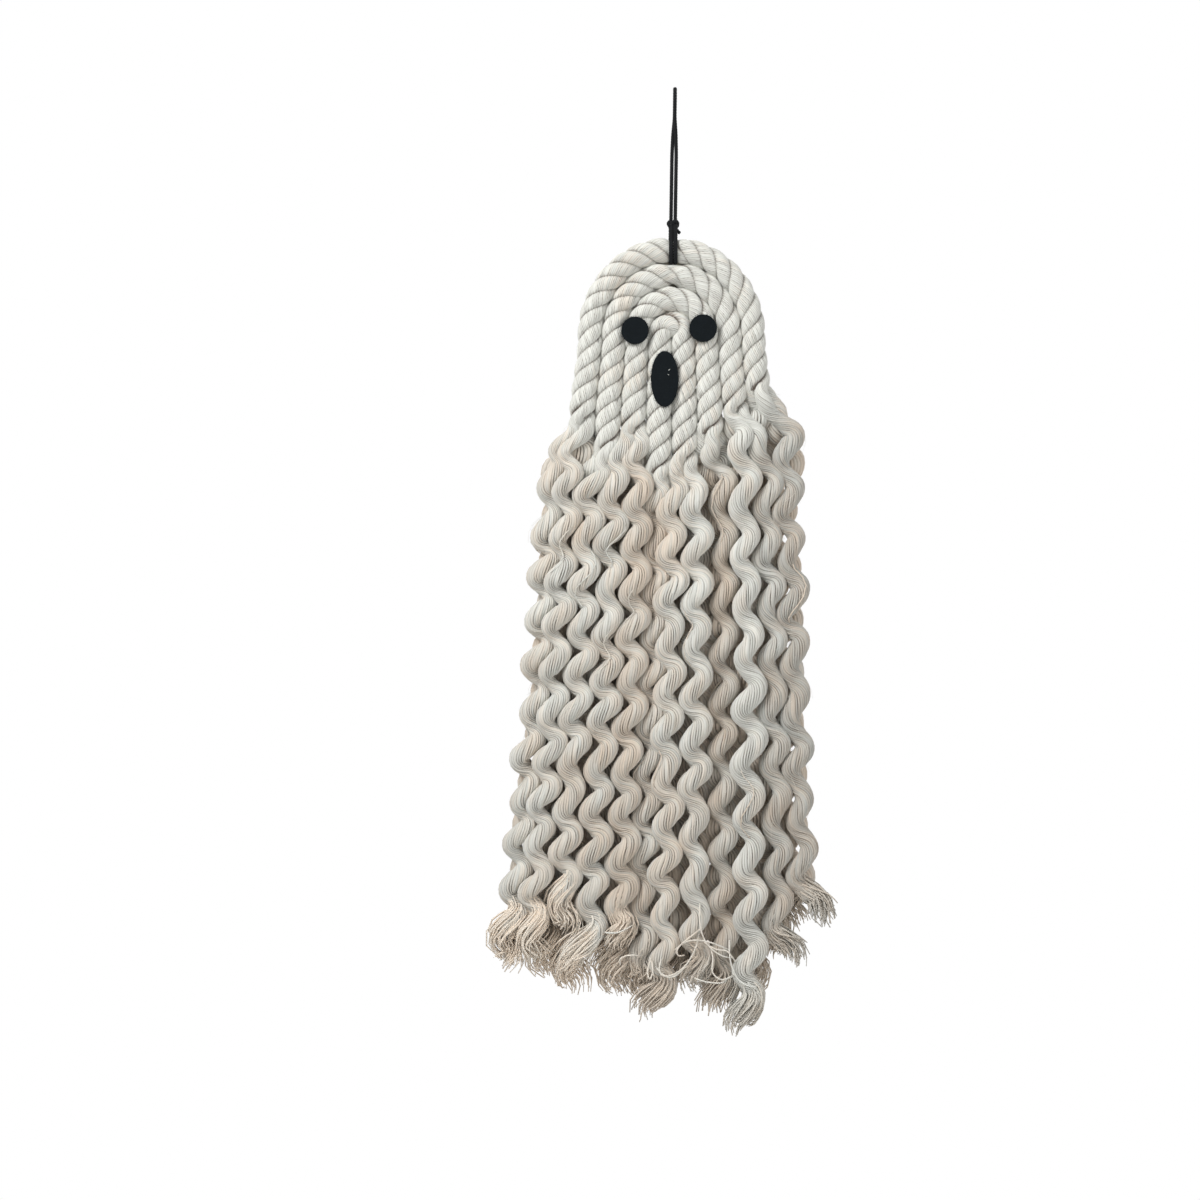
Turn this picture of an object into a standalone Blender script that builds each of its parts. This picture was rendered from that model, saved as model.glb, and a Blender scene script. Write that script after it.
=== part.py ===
"""Hanging ghost decoration of three-strand cotton rope.

Four lengths of rope are bent into nested arches for the head. Below the head each
rope is unlaid, so its three strands hang side by side in waves as the ghost's body.
Felt eyes and a felt mouth sit on the ropes, a felt panel backs them, and a black
cord tied round the outermost rope holds the ghost up.

Metres, +Z up. The viewer stands at -Y. The origin is the top of the hanging loop.
"""
import math

import bmesh
import bpy
import numpy as np

OBJECT_NAME = "hanging_ghost_decoration"

# Rope and head
ROPE_NAMES = ("inner", "second", "third", "outer")
STRANDS_PER_ROPE = 3
ROPE_DIAMETER = 0.0092
ROPE_LAY = 0.0220
SIDE_GAP = 0.0003
CROWN_GAP = 0.0008
STRAND_GAP = 0.0003
LEG_SPREAD = 0.0009
LEG_SPREAD_DROP = 0.036
HEAD_OFFSET_X = -0.0014

# How far below the arch's centre each leg stays laid, from the left leg to the right
LAID_DROPS = (0.032, 0.044, 0.036, 0.054, 0.048, 0.038, 0.028, 0.020)

# Free strands below the head
TAIL_RADIUS = 0.0039
WAVE_REACH = 0.0025
WAVE_DEPTH = 0.0012
WAVE_LENGTH = 0.0181
WIDE_WAVE_LENGTH = 0.0212
WAVE_LEVEL = 0.1175
WAVE_LAG = 0.0015
BACK_WAVE_SHARE = 0.5
FLUFF_DROP = 0.016
SETTLE_DROP = 0.024
UNTWIST_DROP = 0.016
LAY_EASE_DROP = 0.006

# Drop, strand spacing and lean to the side of the skirt, at its shoulder, waist and hem
SKIRT_LEVELS = (0.066, 0.148, 0.228)
SKIRT_SPACINGS = (0.0088, 0.0096, 0.0107)
SKIRT_LEANS = (-0.0008, -0.0023, -0.0051)

# One entry for each free strand, left to right: sideways shift, depth and drop of its tip.
# The back row's waves run a share of a wave ahead, so they fill the gaps of the front row.
FRONT_TAILS = (
    (0.0000, -0.0005, 0.256),
    (-0.0024, -0.0040, 0.254),
    (-0.0020, -0.0045, 0.242),
    (-0.0010, -0.0045, 0.258),
    (0.0000, -0.0045, 0.248),
    (-0.0010, -0.0010, 0.266),
    (-0.0034, -0.0045, 0.276),
    (-0.0020, -0.0045, 0.264),
    (0.0000, -0.0010, 0.274),
    (0.0000, -0.0060, 0.282),
    (0.0000, -0.0030, 0.254),
    (0.0000, -0.0025, 0.238),
)
BACK_TAILS = (
    (0.0044, 0.0066, 0.250),
    (0.0030, 0.0074, 0.260),
    (0.0020, 0.0066, 0.266),
    (0.0010, 0.0074, 0.256),
    (0.0010, 0.0066, 0.268),
    (0.0000, 0.0074, 0.270),
    (0.0000, 0.0066, 0.264),
    (-0.0010, 0.0074, 0.260),
    (-0.0010, 0.0066, 0.270),
    (-0.0020, 0.0074, 0.266),
    (-0.0030, 0.0066, 0.252),
    (-0.0044, 0.0074, 0.240),
)

# Felt pieces, placed by their centres from the arch's centre
FELT_THICKNESS = 0.0015
EYE_DIAMETER = 0.0112
MOUTH_WIDTH = 0.0113
MOUTH_HEIGHT = 0.0227
LEFT_EYE_PLACE = (-0.0150, 0.0018)
RIGHT_EYE_PLACE = (0.0127, 0.0027)
MOUTH_PLACE = (-0.0029, -0.0179)
PANEL_THICKNESS = 0.0020
PANEL_RIM = 0.0040
PANEL_DROP = 0.0140
SEAT_GAP = 0.0003

# Hanging cord
CORD_DIAMETER = 0.0016
CORD_TWIN_GAP = 0.0002
LOOP_HEIGHT = 0.0620
LOOP_BEND_RADIUS = 0.0024
KNOT_WIDTH = 0.0052
KNOT_HEIGHT = 0.0060
KNOT_DEPTH = 0.0050
KNOT_RISE = 0.0100
CORD_END_REACH = (0.0026, -0.0010, -0.0032)
WRAP_SHIFT = 0.0006
CINCH_REACH = 0.0075

# Mesh fineness
POINTS_PER_TURN = 6
POINTS_PER_WAVE = 3.5
SAMPLES_PER_STEP = 5
FELT_SIDES = 32
ARCH_STEPS = 400
CORD_STEP = 0.0045
WRAP_STEPS = 14
BEND_STEPS = 6
KNOT_SEGMENTS = 12
KNOT_RINGS = 8
TUBE_SIDES = 4
CORD_SIDES = 8
WELD_DISTANCE = 0.000001
BEND_SHARE = 0.85
SMALLEST_AREA = 1e-12

HALF_TURN = math.pi
TURN = 2.0 * math.pi

ROPE_COUNT = len(ROPE_NAMES)
ROPE_RADIUS = ROPE_DIAMETER / 2.0
CORD_RADIUS = CORD_DIAMETER / 2.0
SIDE_PITCH = ROPE_DIAMETER + SIDE_GAP
CROWN_PITCH = ROPE_DIAMETER + CROWN_GAP
CROWN_RISE = (ROPE_COUNT - 0.5) * CROWN_PITCH
ARCH_CENTRE_Z = -LOOP_HEIGHT - CROWN_RISE - ROPE_RADIUS
WRAP_X = HEAD_OFFSET_X + WRAP_SHIFT
CINCHED_ROPE_RADIUS = CROWN_PITCH / 2.0 - CORD_RADIUS - SEAT_GAP
DEPTH_AXIS = np.array((0.0, 1.0, 0.0))


def smooth_step(value):
    """Ease from 0 to 1 as value runs from 0 to 1."""
    eased = min(max(value, 0.0), 1.0)
    return eased * eased * (3.0 - 2.0 * eased)


def clear_scene():
    """Remove the objects that the file opened with."""
    for item in list(bpy.data.objects):
        bpy.data.objects.remove(item, do_unlink=True)


def make_collection(name):
    """Add a collection to the scene."""
    collection = bpy.data.collections.new(name)
    bpy.context.scene.collection.children.link(collection)
    return collection


def make_material(name, colour, roughness):
    """Make a plain Principled material for a soft surface."""
    material = bpy.data.materials.new(name)
    material.use_nodes = True
    shader = material.node_tree.nodes["Principled BSDF"]
    shader.inputs["Base Color"].default_value = (*colour, 1.0)
    shader.inputs["Roughness"].default_value = roughness
    shader.inputs["Metallic"].default_value = 0.0
    return material


def laid_strand_radius(helix_radius):
    """Radius of a drawn strand that lies a strand gap from its neighbour in straight rope."""
    corners = np.arange(-POINTS_PER_TURN, POINTS_PER_TURN + 1)
    places = np.linspace(corners[0], corners[-1], len(corners) * SAMPLES_PER_STEP * 2)
    lines = []
    for start in (0.0, TURN / STRANDS_PER_ROPE):
        angles = start + TURN * corners / POINTS_PER_TURN
        heights = ROPE_LAY * corners / POINTS_PER_TURN
        drawn = (helix_radius * np.cos(angles), helix_radius * np.sin(angles), heights)
        lines.append(np.column_stack([np.interp(places, corners, values) for values in drawn]))
    distances = np.linalg.norm(lines[0][:, None, :] - lines[1][None, :, :], axis=2)
    return (float(np.min(distances)) - STRAND_GAP) / 2.0


def solve_helix_radius(outer_radius):
    """Helix radius at which the laid strands just fill a rope of this outer radius."""
    low = 0.0
    high = outer_radius
    for _ in range(40):
        middle = (low + high) / 2.0
        if middle + laid_strand_radius(middle) > outer_radius:
            high = middle
        else:
            low = middle
    return low


HELIX_RADIUS = solve_helix_radius(ROPE_RADIUS)
STRAND_RADIUS = laid_strand_radius(HELIX_RADIUS)
CINCHED_HELIX_RADIUS = solve_helix_radius(min(CINCHED_ROPE_RADIUS, ROPE_RADIUS))


def leg_x(side, ring, drop):
    """Place of a rope's leg across the head, at a drop below the arch's centre."""
    pitch = SIDE_PITCH + LEG_SPREAD * smooth_step(drop / LEG_SPREAD_DROP)
    return HEAD_OFFSET_X + side * (ring + 0.5) * pitch


def rope_course(ring, left_drop, right_drop):
    """Points, outward normals and run lengths of a rope's centre line, left to right."""
    flat = [(leg_x(-1.0, ring, drop), -drop) for drop in np.linspace(left_drop, 0.0, ARCH_STEPS)[:-1]]
    for angle in np.linspace(HALF_TURN, 0.0, ARCH_STEPS):
        across = (ring + 0.5) * SIDE_PITCH * math.cos(angle)
        flat.append((HEAD_OFFSET_X + across, (ring + 0.5) * CROWN_PITCH * math.sin(angle)))
    flat += [(leg_x(1.0, ring, drop), -drop) for drop in np.linspace(0.0, right_drop, ARCH_STEPS)[1:]]
    flat = np.array(flat)
    depths = np.zeros(len(flat))
    points = np.column_stack((flat[:, 0], depths, flat[:, 1] + ARCH_CENTRE_Z))
    tangents = np.gradient(points, axis=0)
    normals = np.column_stack((-tangents[:, 2], depths, tangents[:, 0]))
    steps = np.linalg.norm(np.diff(points, axis=0), axis=1)
    return points, normals, np.concatenate(([0.0], np.cumsum(steps)))


def read_course(course, place):
    """Point and outward normal of a rope's centre line at a length along it."""
    points, normals, lengths = course
    point = np.array([np.interp(place, lengths, points[:, axis]) for axis in range(3)])
    normal = np.array([np.interp(place, lengths, normals[:, axis]) for axis in range(3)])
    return point, normal / np.linalg.norm(normal)


def strand_offset(normal, angle, radius):
    """Offset of a strand from its rope's centre line, for a right-handed lay."""
    return radius * (math.cos(angle) * normal - math.sin(angle) * DEPTH_AXIS)


def helix_radius_at(point, ring):
    """Helix radius of a laid strand, drawn in where the hanging cord passes."""
    if ring < ROPE_COUNT - 2 or point[2] < ARCH_CENTRE_Z:
        return HELIX_RADIUS
    reach = abs(point[0] - WRAP_X) / CINCH_REACH
    return CINCHED_HELIX_RADIUS + (HELIX_RADIUS - CINCHED_HELIX_RADIUS) * smooth_step(reach ** 2)


def slot_x(slot, slot_count, shift, drop):
    """Place of a free strand across the skirt, at a drop below the arch's centre."""
    spacing = float(np.interp(drop, SKIRT_LEVELS, SKIRT_SPACINGS))
    lean = float(np.interp(drop, SKIRT_LEVELS, SKIRT_LEANS))
    return HEAD_OFFSET_X + lean + (slot - (slot_count - 1) / 2.0) * spacing + shift


def wave_length_of(slot, slot_count):
    """Wave length of a free strand, longer towards the skirt's right side."""
    share = smooth_step((slot / (slot_count - 1) - 0.5) / 0.35)
    return WAVE_LENGTH + (WIDE_WAVE_LENGTH - WAVE_LENGTH) * share


def wave_offset(slot, slot_count, wave_share, drop):
    """Offset of a free strand's wave, a flattened right-handed helix."""
    crest_drop = WAVE_LEVEL + WAVE_LAG * (slot - slot_count / 2.0)
    angle = TURN * ((crest_drop - drop) / wave_length_of(slot, slot_count) + wave_share)
    return np.array((WAVE_REACH * math.cos(angle), WAVE_DEPTH * math.sin(angle), 0.0))


def eased_twist(fallen):
    """Angle that a strand still turns below the end of the lay, where the twist dies out."""
    share = min(fallen / LAY_EASE_DROP, 1.0)
    return TURN * LAY_EASE_DROP / ROPE_LAY * (share - share ** 3 + share ** 4 / 2.0)


def tail_rows(side, ring, laid_drop, laid_angle, tail):
    """Points and radii of one free strand, from the end of the lay down to its tip."""
    slot, slot_count, wave_share, (shift, depth, tip_drop) = tail
    wave_count = (tip_drop - laid_drop) / wave_length_of(slot, slot_count)
    step_count = round(wave_count * POINTS_PER_WAVE)
    outward = np.array((side, 0.0, 0.0))
    rows = []
    for drop in np.linspace(laid_drop, tip_drop, step_count + 1)[1:]:
        fallen = drop - laid_drop
        settled = smooth_step(fallen / SETTLE_DROP)
        untwisted = smooth_step(fallen / UNTWIST_DROP)
        fluffed = smooth_step(fallen / FLUFF_DROP)
        leg_place = leg_x(side, ring, drop)
        across = leg_place + (slot_x(slot, slot_count, shift, drop) - leg_place) * settled
        base = np.array((across, depth * settled, ARCH_CENTRE_Z - drop))
        laid = strand_offset(outward, laid_angle + side * eased_twist(fallen), HELIX_RADIUS)
        wave = wave_offset(slot, slot_count, wave_share, drop)
        point = base + laid * (1.0 - untwisted) + wave * untwisted
        rows.append((point, STRAND_RADIUS + (TAIL_RADIUS - STRAND_RADIUS) * fluffed))
    return rows


def share_out_tails():
    """Give each leg the skirt places of its strands: two in front, then one, by turns."""
    front = [(slot, len(FRONT_TAILS), 0.0, tail) for slot, tail in enumerate(FRONT_TAILS)]
    back = [(slot, len(BACK_TAILS), BACK_WAVE_SHARE, tail) for slot, tail in enumerate(BACK_TAILS)]
    shares = []
    for leg in range(2 * ROPE_COUNT):
        front_count = 2 - leg % 2
        back_count = STRANDS_PER_ROPE - front_count
        shares.append((front[:front_count], back[:back_count]))
        front = front[front_count:]
        back = back[back_count:]
    return shares


def match_tails(offsets, share):
    """Pair a leg's strands with its skirt places: front or back first, then left to right."""
    front, back = share
    by_depth = sorted(range(len(offsets)), key=lambda strand: offsets[strand][1])
    front_strands = sorted(by_depth[:len(front)], key=lambda strand: offsets[strand][0])
    back_strands = sorted(by_depth[len(front):], key=lambda strand: offsets[strand][0])
    return dict(zip(front_strands + back_strands, front + back))


def rope_strands(ring, shares):
    """Points and radii of one rope's strands, each from its left tip to its right tip."""
    legs = (ROPE_COUNT - 1 - ring, ROPE_COUNT + ring)
    course = rope_course(ring, LAID_DROPS[legs[0]], LAID_DROPS[legs[1]])
    length = course[2][-1]
    run_out = eased_twist(LAY_EASE_DROP)
    strand_turns = math.floor(STRANDS_PER_ROPE * length / ROPE_LAY) + 0.5
    turned = TURN * strand_turns / STRANDS_PER_ROPE - 2.0 * run_out
    first_angle = run_out + (TURN / 4.0 if legs[0] % 2 else -TURN / 4.0)
    first_angles = [first_angle + TURN * strand / STRANDS_PER_ROPE for strand in range(STRANDS_PER_ROPE)]
    tails = []
    for leg, side, end_turn in zip(legs, (-1.0, 1.0), (0.0, turned)):
        normal = np.array((side, 0.0, 0.0))
        angles = [angle + end_turn for angle in first_angles]
        offsets = [strand_offset(normal, angle + side * run_out, HELIX_RADIUS) for angle in angles]
        pairs = match_tails(offsets, shares[leg])
        tails.append([tail_rows(side, ring, LAID_DROPS[leg], angle, pairs[strand])
                      for strand, angle in enumerate(angles)])
    strands = []
    for strand, start in enumerate(first_angles):
        laid = []
        for place in np.linspace(0.0, length, round(turned / TURN * POINTS_PER_TURN) + 1):
            point, normal = read_course(course, place)
            angle = start + turned * place / length
            offset = strand_offset(normal, angle, helix_radius_at(point, ring))
            laid.append((point + offset, STRAND_RADIUS))
        strands.append(tails[0][strand][::-1] + laid + tails[1][strand])
    return strands


def knot_centre():
    """Centre of the hanging cord's knot, above the outermost rope's crown."""
    return np.array((WRAP_X, 0.0, ARCH_CENTRE_Z + CROWN_RISE + KNOT_RISE))


def wrap_route(side):
    """One strand of the cord's wrap: out of the knot, round the rope and back into it."""
    across = WRAP_X + side * (CORD_RADIUS + CORD_TWIN_GAP / 2.0)
    rope_z = ARCH_CENTRE_Z + CROWN_RISE
    radius = CROWN_PITCH / 2.0
    touch = math.acos(radius / KNOT_RISE)
    knot_depth = CORD_RADIUS + CORD_TWIN_GAP
    route = [(across, -knot_depth, rope_z + KNOT_RISE)]
    for angle in np.linspace(touch, TURN - touch, WRAP_STEPS):
        route.append((across, -radius * math.sin(angle), rope_z + radius * math.cos(angle)))
    route.append((across, knot_depth, rope_z + KNOT_RISE))
    return route


def loop_route():
    """The hanging loop: up from the knot, over the top and down again, with a half twist."""
    start = knot_centre()
    narrow = CORD_RADIUS + CORD_TWIN_GAP
    bend_z = -CORD_RADIUS - LOOP_BEND_RADIUS
    step_count = round((bend_z - start[2]) / CORD_STEP)
    rising = []
    for share in np.linspace(0.0, 1.0, step_count + 1):
        turned = smooth_step(share) * TURN / 4.0
        reach = narrow + (LOOP_BEND_RADIUS - narrow) * smooth_step(share)
        centre_x = start[0] * (1.0 - share)
        rising.append((centre_x, reach * math.cos(turned), -reach * math.sin(turned),
                       start[2] + (bend_z - start[2]) * share))
    route = [(centre + across, depth, height) for centre, across, depth, height in rising]
    for angle in np.linspace(0.0, HALF_TURN, BEND_STEPS + 1)[1:-1]:
        depth = -LOOP_BEND_RADIUS * math.cos(angle)
        route.append((0.0, depth, bend_z + LOOP_BEND_RADIUS * math.sin(angle)))
    route += [(centre - across, -depth, height) for centre, across, depth, height in rising[::-1]]
    return route


def cord_end_route():
    """The short end of the cord that leaves the knot."""
    reach = np.array(CORD_END_REACH)
    return [tuple(knot_centre() + share * reach) for share in (0.0, 0.5, 1.0)]


def samples_along(points, radii):
    """Points and radii read at short steps along a line of points."""
    places = np.linspace(0.0, len(points) - 1.0, (len(points) - 1) * SAMPLES_PER_STEP + 1)
    knots = np.arange(len(points))
    dense = np.column_stack([np.interp(places, knots, points[:, axis]) for axis in range(3)])
    return dense, np.interp(places, knots, radii)


def bend_limit(points):
    """Greatest radius that each point's bend leaves room for."""
    before = points[1:-1] - points[:-2]
    after = points[2:] - points[1:-1]
    span = np.linalg.norm(points[2:] - points[:-2], axis=1)
    area = np.linalg.norm(np.cross(before, after), axis=1)
    sides = np.linalg.norm(before, axis=1) * np.linalg.norm(after, axis=1) * span
    bends = sides / np.maximum(2.0 * area, SMALLEST_AREA)
    return BEND_SHARE * np.concatenate((bends[:1], bends, bends[-1:]))


def fit_radii(strands, cord_routes):
    """Squeeze each strand where a neighbour or the cord leaves it less room."""
    lines = [np.array([point for point, _ in strand]) for strand in strands]
    wanted = [np.minimum([radius for _, radius in strand], bend_limit(line))
              for strand, line in zip(strands, lines)]
    dense = [samples_along(line, radii) for line, radii in zip(lines, wanted)]
    cord_lines = [samples_along(np.array(route), np.zeros(len(route)))[0] for route in cord_routes]
    cord = np.vstack(cord_lines)
    fitted = []
    for index, (places, radii) in enumerate(dense):
        room = np.full(len(places), np.inf)
        for other, (other_places, other_radii) in enumerate(dense):
            if other == index:
                continue
            distances = np.linalg.norm(places[:, None, :] - other_places[None, :, :], axis=2)
            share = radii[:, None] / (radii[:, None] + other_radii[None, :])
            room = np.minimum(room, np.min((distances - STRAND_GAP) * share, axis=1))
        distances = np.linalg.norm(places[:, None, :] - cord[None, :, :], axis=2)
        room = np.minimum(room, np.min(distances, axis=1) - CORD_RADIUS - SEAT_GAP)
        limits = []
        for point in range(len(lines[index])):
            first = max((point - 1) * SAMPLES_PER_STEP, 0)
            limits.append(np.min(room[first:(point + 1) * SAMPLES_PER_STEP + 1]))
        fitted.append(np.minimum(wanted[index], limits))
    return lines, fitted


def make_tube(name, points, radius, shares, sides, collection):
    """Make a round tube along a line of points, with a share of the radius at each."""
    curve = bpy.data.curves.new(name, "CURVE")
    curve.dimensions = "3D"
    curve.bevel_depth = radius
    curve.bevel_resolution = (sides - 4) // 2
    curve.use_fill_caps = True
    spline = curve.splines.new("POLY")
    spline.points.add(len(points) - 1)
    for target, point, share in zip(spline.points, points, shares):
        target.co = (*point, 1.0)
        target.radius = share
    tube = bpy.data.objects.new(name, curve)
    collection.objects.link(tube)
    return tube


def make_strands(cord_routes, collection, material):
    """Make the rope strands, each one piece from tip to tip through its arch."""
    shares = share_out_tails()
    names = []
    strands = []
    for ring, rope_name in enumerate(ROPE_NAMES):
        for number, strand in enumerate(rope_strands(ring, shares), start=1):
            names.append(f"{rope_name}_rope_strand_{number}")
            strands.append(strand)
    for name, line, radii in zip(names, *fit_radii(strands, cord_routes)):
        tube = make_tube(name, line, TAIL_RADIUS, radii / TAIL_RADIUS, TUBE_SIDES, collection)
        tube.data.materials.append(material)


def settle_shape(name, size, collection):
    """Name and size the new primitive, and move it to its collection."""
    shape = bpy.context.active_object
    shape.name = name
    shape.scale = size
    bpy.ops.object.transform_apply(location=False, rotation=False, scale=True)
    for owner in list(shape.users_collection):
        owner.objects.unlink(shape)
    collection.objects.link(shape)
    return shape


def make_felt_disc(name, place, width, height, collection, material):
    """Make a flat felt disc on the front of the head."""
    depth = -ROPE_RADIUS - SEAT_GAP - FELT_THICKNESS / 2.0
    centre = (HEAD_OFFSET_X + place[0], depth, ARCH_CENTRE_Z + place[1])
    bpy.ops.mesh.primitive_cylinder_add(
        vertices=FELT_SIDES, radius=0.5, depth=FELT_THICKNESS,
        location=centre, rotation=(TURN / 4.0, 0.0, 0.0),
    )
    disc = settle_shape(name, (width, height, 1.0), collection)
    disc.data.materials.append(material)


def make_felt_panel(collection, material):
    """Make the flat felt panel that backs the nested arches."""
    half_width = (ROPE_COUNT - 0.5) * SIDE_PITCH - PANEL_RIM
    rise = (ROPE_COUNT - 0.5) * CROWN_PITCH - PANEL_RIM
    outline = [(half_width, -PANEL_DROP)]
    for angle in np.linspace(0.0, HALF_TURN, FELT_SIDES // 2 + 1):
        outline.append((half_width * math.cos(angle), rise * math.sin(angle)))
    outline.append((-half_width, -PANEL_DROP))
    curve = bpy.data.curves.new("felt_backing", "CURVE")
    curve.dimensions = "2D"
    curve.fill_mode = "BOTH"
    curve.extrude = PANEL_THICKNESS / 2.0
    spline = curve.splines.new("POLY")
    spline.use_cyclic_u = True
    spline.points.add(len(outline) - 1)
    for target, (across, height) in zip(spline.points, outline):
        target.co = (across, height, 0.0, 1.0)
    panel = bpy.data.objects.new("felt_backing", curve)
    panel.location = (HEAD_OFFSET_X, ROPE_RADIUS + SEAT_GAP + PANEL_THICKNESS / 2.0, ARCH_CENTRE_Z)
    panel.rotation_euler = (TURN / 4.0, 0.0, 0.0)
    panel.data.materials.append(material)
    collection.objects.link(panel)


def tube_to_mesh(tube, collection):
    """Replace a tube by a welded mesh object of the same name."""
    graph = bpy.context.evaluated_depsgraph_get()
    mesh = bpy.data.meshes.new_from_object(tube.evaluated_get(graph))
    work = bmesh.new()
    work.from_mesh(mesh)
    bmesh.ops.remove_doubles(work, verts=work.verts, dist=WELD_DISTANCE)
    bmesh.ops.recalc_face_normals(work, faces=work.faces)
    work.to_mesh(mesh)
    work.free()
    name = tube.name
    solid = bpy.data.objects.new(name + "_solid", mesh)
    solid.matrix_world = tube.matrix_world
    bpy.data.objects.remove(tube, do_unlink=True)
    solid.name = name
    collection.objects.link(solid)
    return solid


def make_knot(collection):
    """Make the knot's rounded lump."""
    bpy.ops.mesh.primitive_uv_sphere_add(
        segments=KNOT_SEGMENTS, ring_count=KNOT_RINGS, radius=0.5, location=tuple(knot_centre())
    )
    return settle_shape("cord_knot_shape", (KNOT_WIDTH, KNOT_DEPTH, KNOT_HEIGHT), collection)


def make_hanging_cord(collection, cutters, material):
    """Make the black cord: hanging loop, knot, short end and wrap, joined in one piece."""
    routes = {
        "cord_wrap_left_shape": wrap_route(-1.0),
        "cord_wrap_right_shape": wrap_route(1.0),
        "cord_end_shape": cord_end_route(),
        "hanging_cord": loop_route(),
    }
    solids = {}
    for name, route in routes.items():
        home = collection if name == "hanging_cord" else cutters
        tube = make_tube(name, route, CORD_RADIUS, [1.0] * len(route), CORD_SIDES, home)
        bpy.context.view_layer.update()
        solids[name] = tube_to_mesh(tube, home)
    cord = solids.pop("hanging_cord")
    for shape in [make_knot(cutters), *solids.values()]:
        shape.hide_render = True
        shape.display_type = "WIRE"
        union = cord.modifiers.new("join_" + shape.name, "BOOLEAN")
        union.operation = "UNION"
        union.solver = "EXACT"
        union.object = shape
    cord.data.materials.append(material)


def main():
    """Build the ghost."""
    clear_scene()
    parts = make_collection(OBJECT_NAME)
    cutters = make_collection("cutters")
    cotton = make_material("natural_cotton", (0.73, 0.69, 0.60), 0.92)
    black_felt = make_material("black_felt", (0.011, 0.015, 0.018), 0.95)
    cream_felt = make_material("cream_felt", (0.72, 0.68, 0.58), 0.95)
    black_cord = make_material("black_cord", (0.010, 0.010, 0.011), 0.80)
    cord_routes = (wrap_route(-1.0), wrap_route(1.0), loop_route(), cord_end_route())
    make_strands(cord_routes, parts, cotton)
    make_felt_disc("left_eye", LEFT_EYE_PLACE, EYE_DIAMETER, EYE_DIAMETER, parts, black_felt)
    make_felt_disc("right_eye", RIGHT_EYE_PLACE, EYE_DIAMETER, EYE_DIAMETER, parts, black_felt)
    make_felt_disc("mouth", MOUTH_PLACE, MOUTH_WIDTH, MOUTH_HEIGHT, parts, black_felt)
    make_felt_panel(parts, cream_felt)
    make_hanging_cord(parts, cutters, black_cord)


if __name__ == "__main__":
    main()
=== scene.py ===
"""Looks of the hanging rope ghost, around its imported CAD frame.

The head's ropes and the free strands below it follow the same lines as the CAD
solids, drawn finely enough to show their yarns. Metres, +Z up, front towards -Y.
"""

import functools
import math

import bpy
import numpy as np
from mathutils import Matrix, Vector


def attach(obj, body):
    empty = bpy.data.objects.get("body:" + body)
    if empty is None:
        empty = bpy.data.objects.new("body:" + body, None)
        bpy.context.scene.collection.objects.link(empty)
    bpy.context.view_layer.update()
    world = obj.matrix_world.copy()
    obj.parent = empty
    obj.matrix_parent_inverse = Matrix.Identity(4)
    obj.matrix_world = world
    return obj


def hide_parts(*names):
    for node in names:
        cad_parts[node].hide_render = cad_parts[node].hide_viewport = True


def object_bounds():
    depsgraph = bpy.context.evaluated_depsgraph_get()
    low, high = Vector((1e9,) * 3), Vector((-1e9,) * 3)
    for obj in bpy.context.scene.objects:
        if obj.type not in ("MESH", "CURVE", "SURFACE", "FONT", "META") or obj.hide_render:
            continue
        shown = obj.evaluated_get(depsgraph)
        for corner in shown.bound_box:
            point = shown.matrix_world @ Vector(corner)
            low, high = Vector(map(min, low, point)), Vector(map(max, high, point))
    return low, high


bl_info = {
    "name": "Hanging Rope Ghost",
    "version": (1, 0, 0),
    "blender": (4, 5, 0),
    "location": "View3D > Sidebar > Rope Ghost",
    "description": "Makes the cotton ropes, felt face, hanging cord and stage of a rope ghost",
    "category": "Object",
}

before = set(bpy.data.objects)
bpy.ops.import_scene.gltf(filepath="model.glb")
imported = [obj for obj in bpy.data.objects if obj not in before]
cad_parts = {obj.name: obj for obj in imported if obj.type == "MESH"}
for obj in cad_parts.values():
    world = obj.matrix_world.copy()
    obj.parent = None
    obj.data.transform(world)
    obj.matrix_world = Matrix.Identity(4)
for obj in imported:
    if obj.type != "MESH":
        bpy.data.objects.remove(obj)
CAD_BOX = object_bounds()
BODY = "root"

HALF_TURN = math.pi
TURN = 2.0 * math.pi
DEPTH_AXIS = np.array((0.0, 1.0, 0.0))

# Lines of the ropes and free strands, in the sizes of the CAD source
ROPE_NAMES = ("inner", "second", "third", "outer")
ROPE_COUNT = len(ROPE_NAMES)
STRANDS_PER_ROPE = 3
ROPE_DIAMETER = 0.0092
ROPE_RADIUS = ROPE_DIAMETER / 2.0
ROPE_LAY = 0.0220
SIDE_GAP = 0.0003
CROWN_GAP = 0.0008
SIDE_PITCH = ROPE_DIAMETER + SIDE_GAP
CROWN_PITCH = ROPE_DIAMETER + CROWN_GAP
LEG_SPREAD = 0.0009
LEG_SPREAD_DROP = 0.036
HEAD_OFFSET_X = -0.0014
LOOP_HEIGHT = 0.0620
CROWN_RISE = (ROPE_COUNT - 0.5) * CROWN_PITCH
ARCH_CENTRE_Z = -LOOP_HEIGHT - CROWN_RISE - ROPE_RADIUS
LAID_DROPS = (0.032, 0.044, 0.036, 0.054, 0.048, 0.038, 0.028, 0.020)
WAVE_REACH = 0.0025
WAVE_DEPTH = 0.0012
WAVE_LENGTH = 0.0181
WIDE_WAVE_LENGTH = 0.0212
WAVE_LEVEL = 0.1175
WAVE_LAG = 0.0015
BACK_WAVE_SHARE = 0.5
FLUFF_DROP = 0.016
SETTLE_DROP = 0.024
UNTWIST_DROP = 0.016
LAY_EASE_DROP = 0.006
SKIRT_LEVELS = (0.066, 0.148, 0.228)
SKIRT_SPACINGS = (0.0088, 0.0096, 0.0107)
SKIRT_LEANS = (-0.0008, -0.0023, -0.0051)
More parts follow.
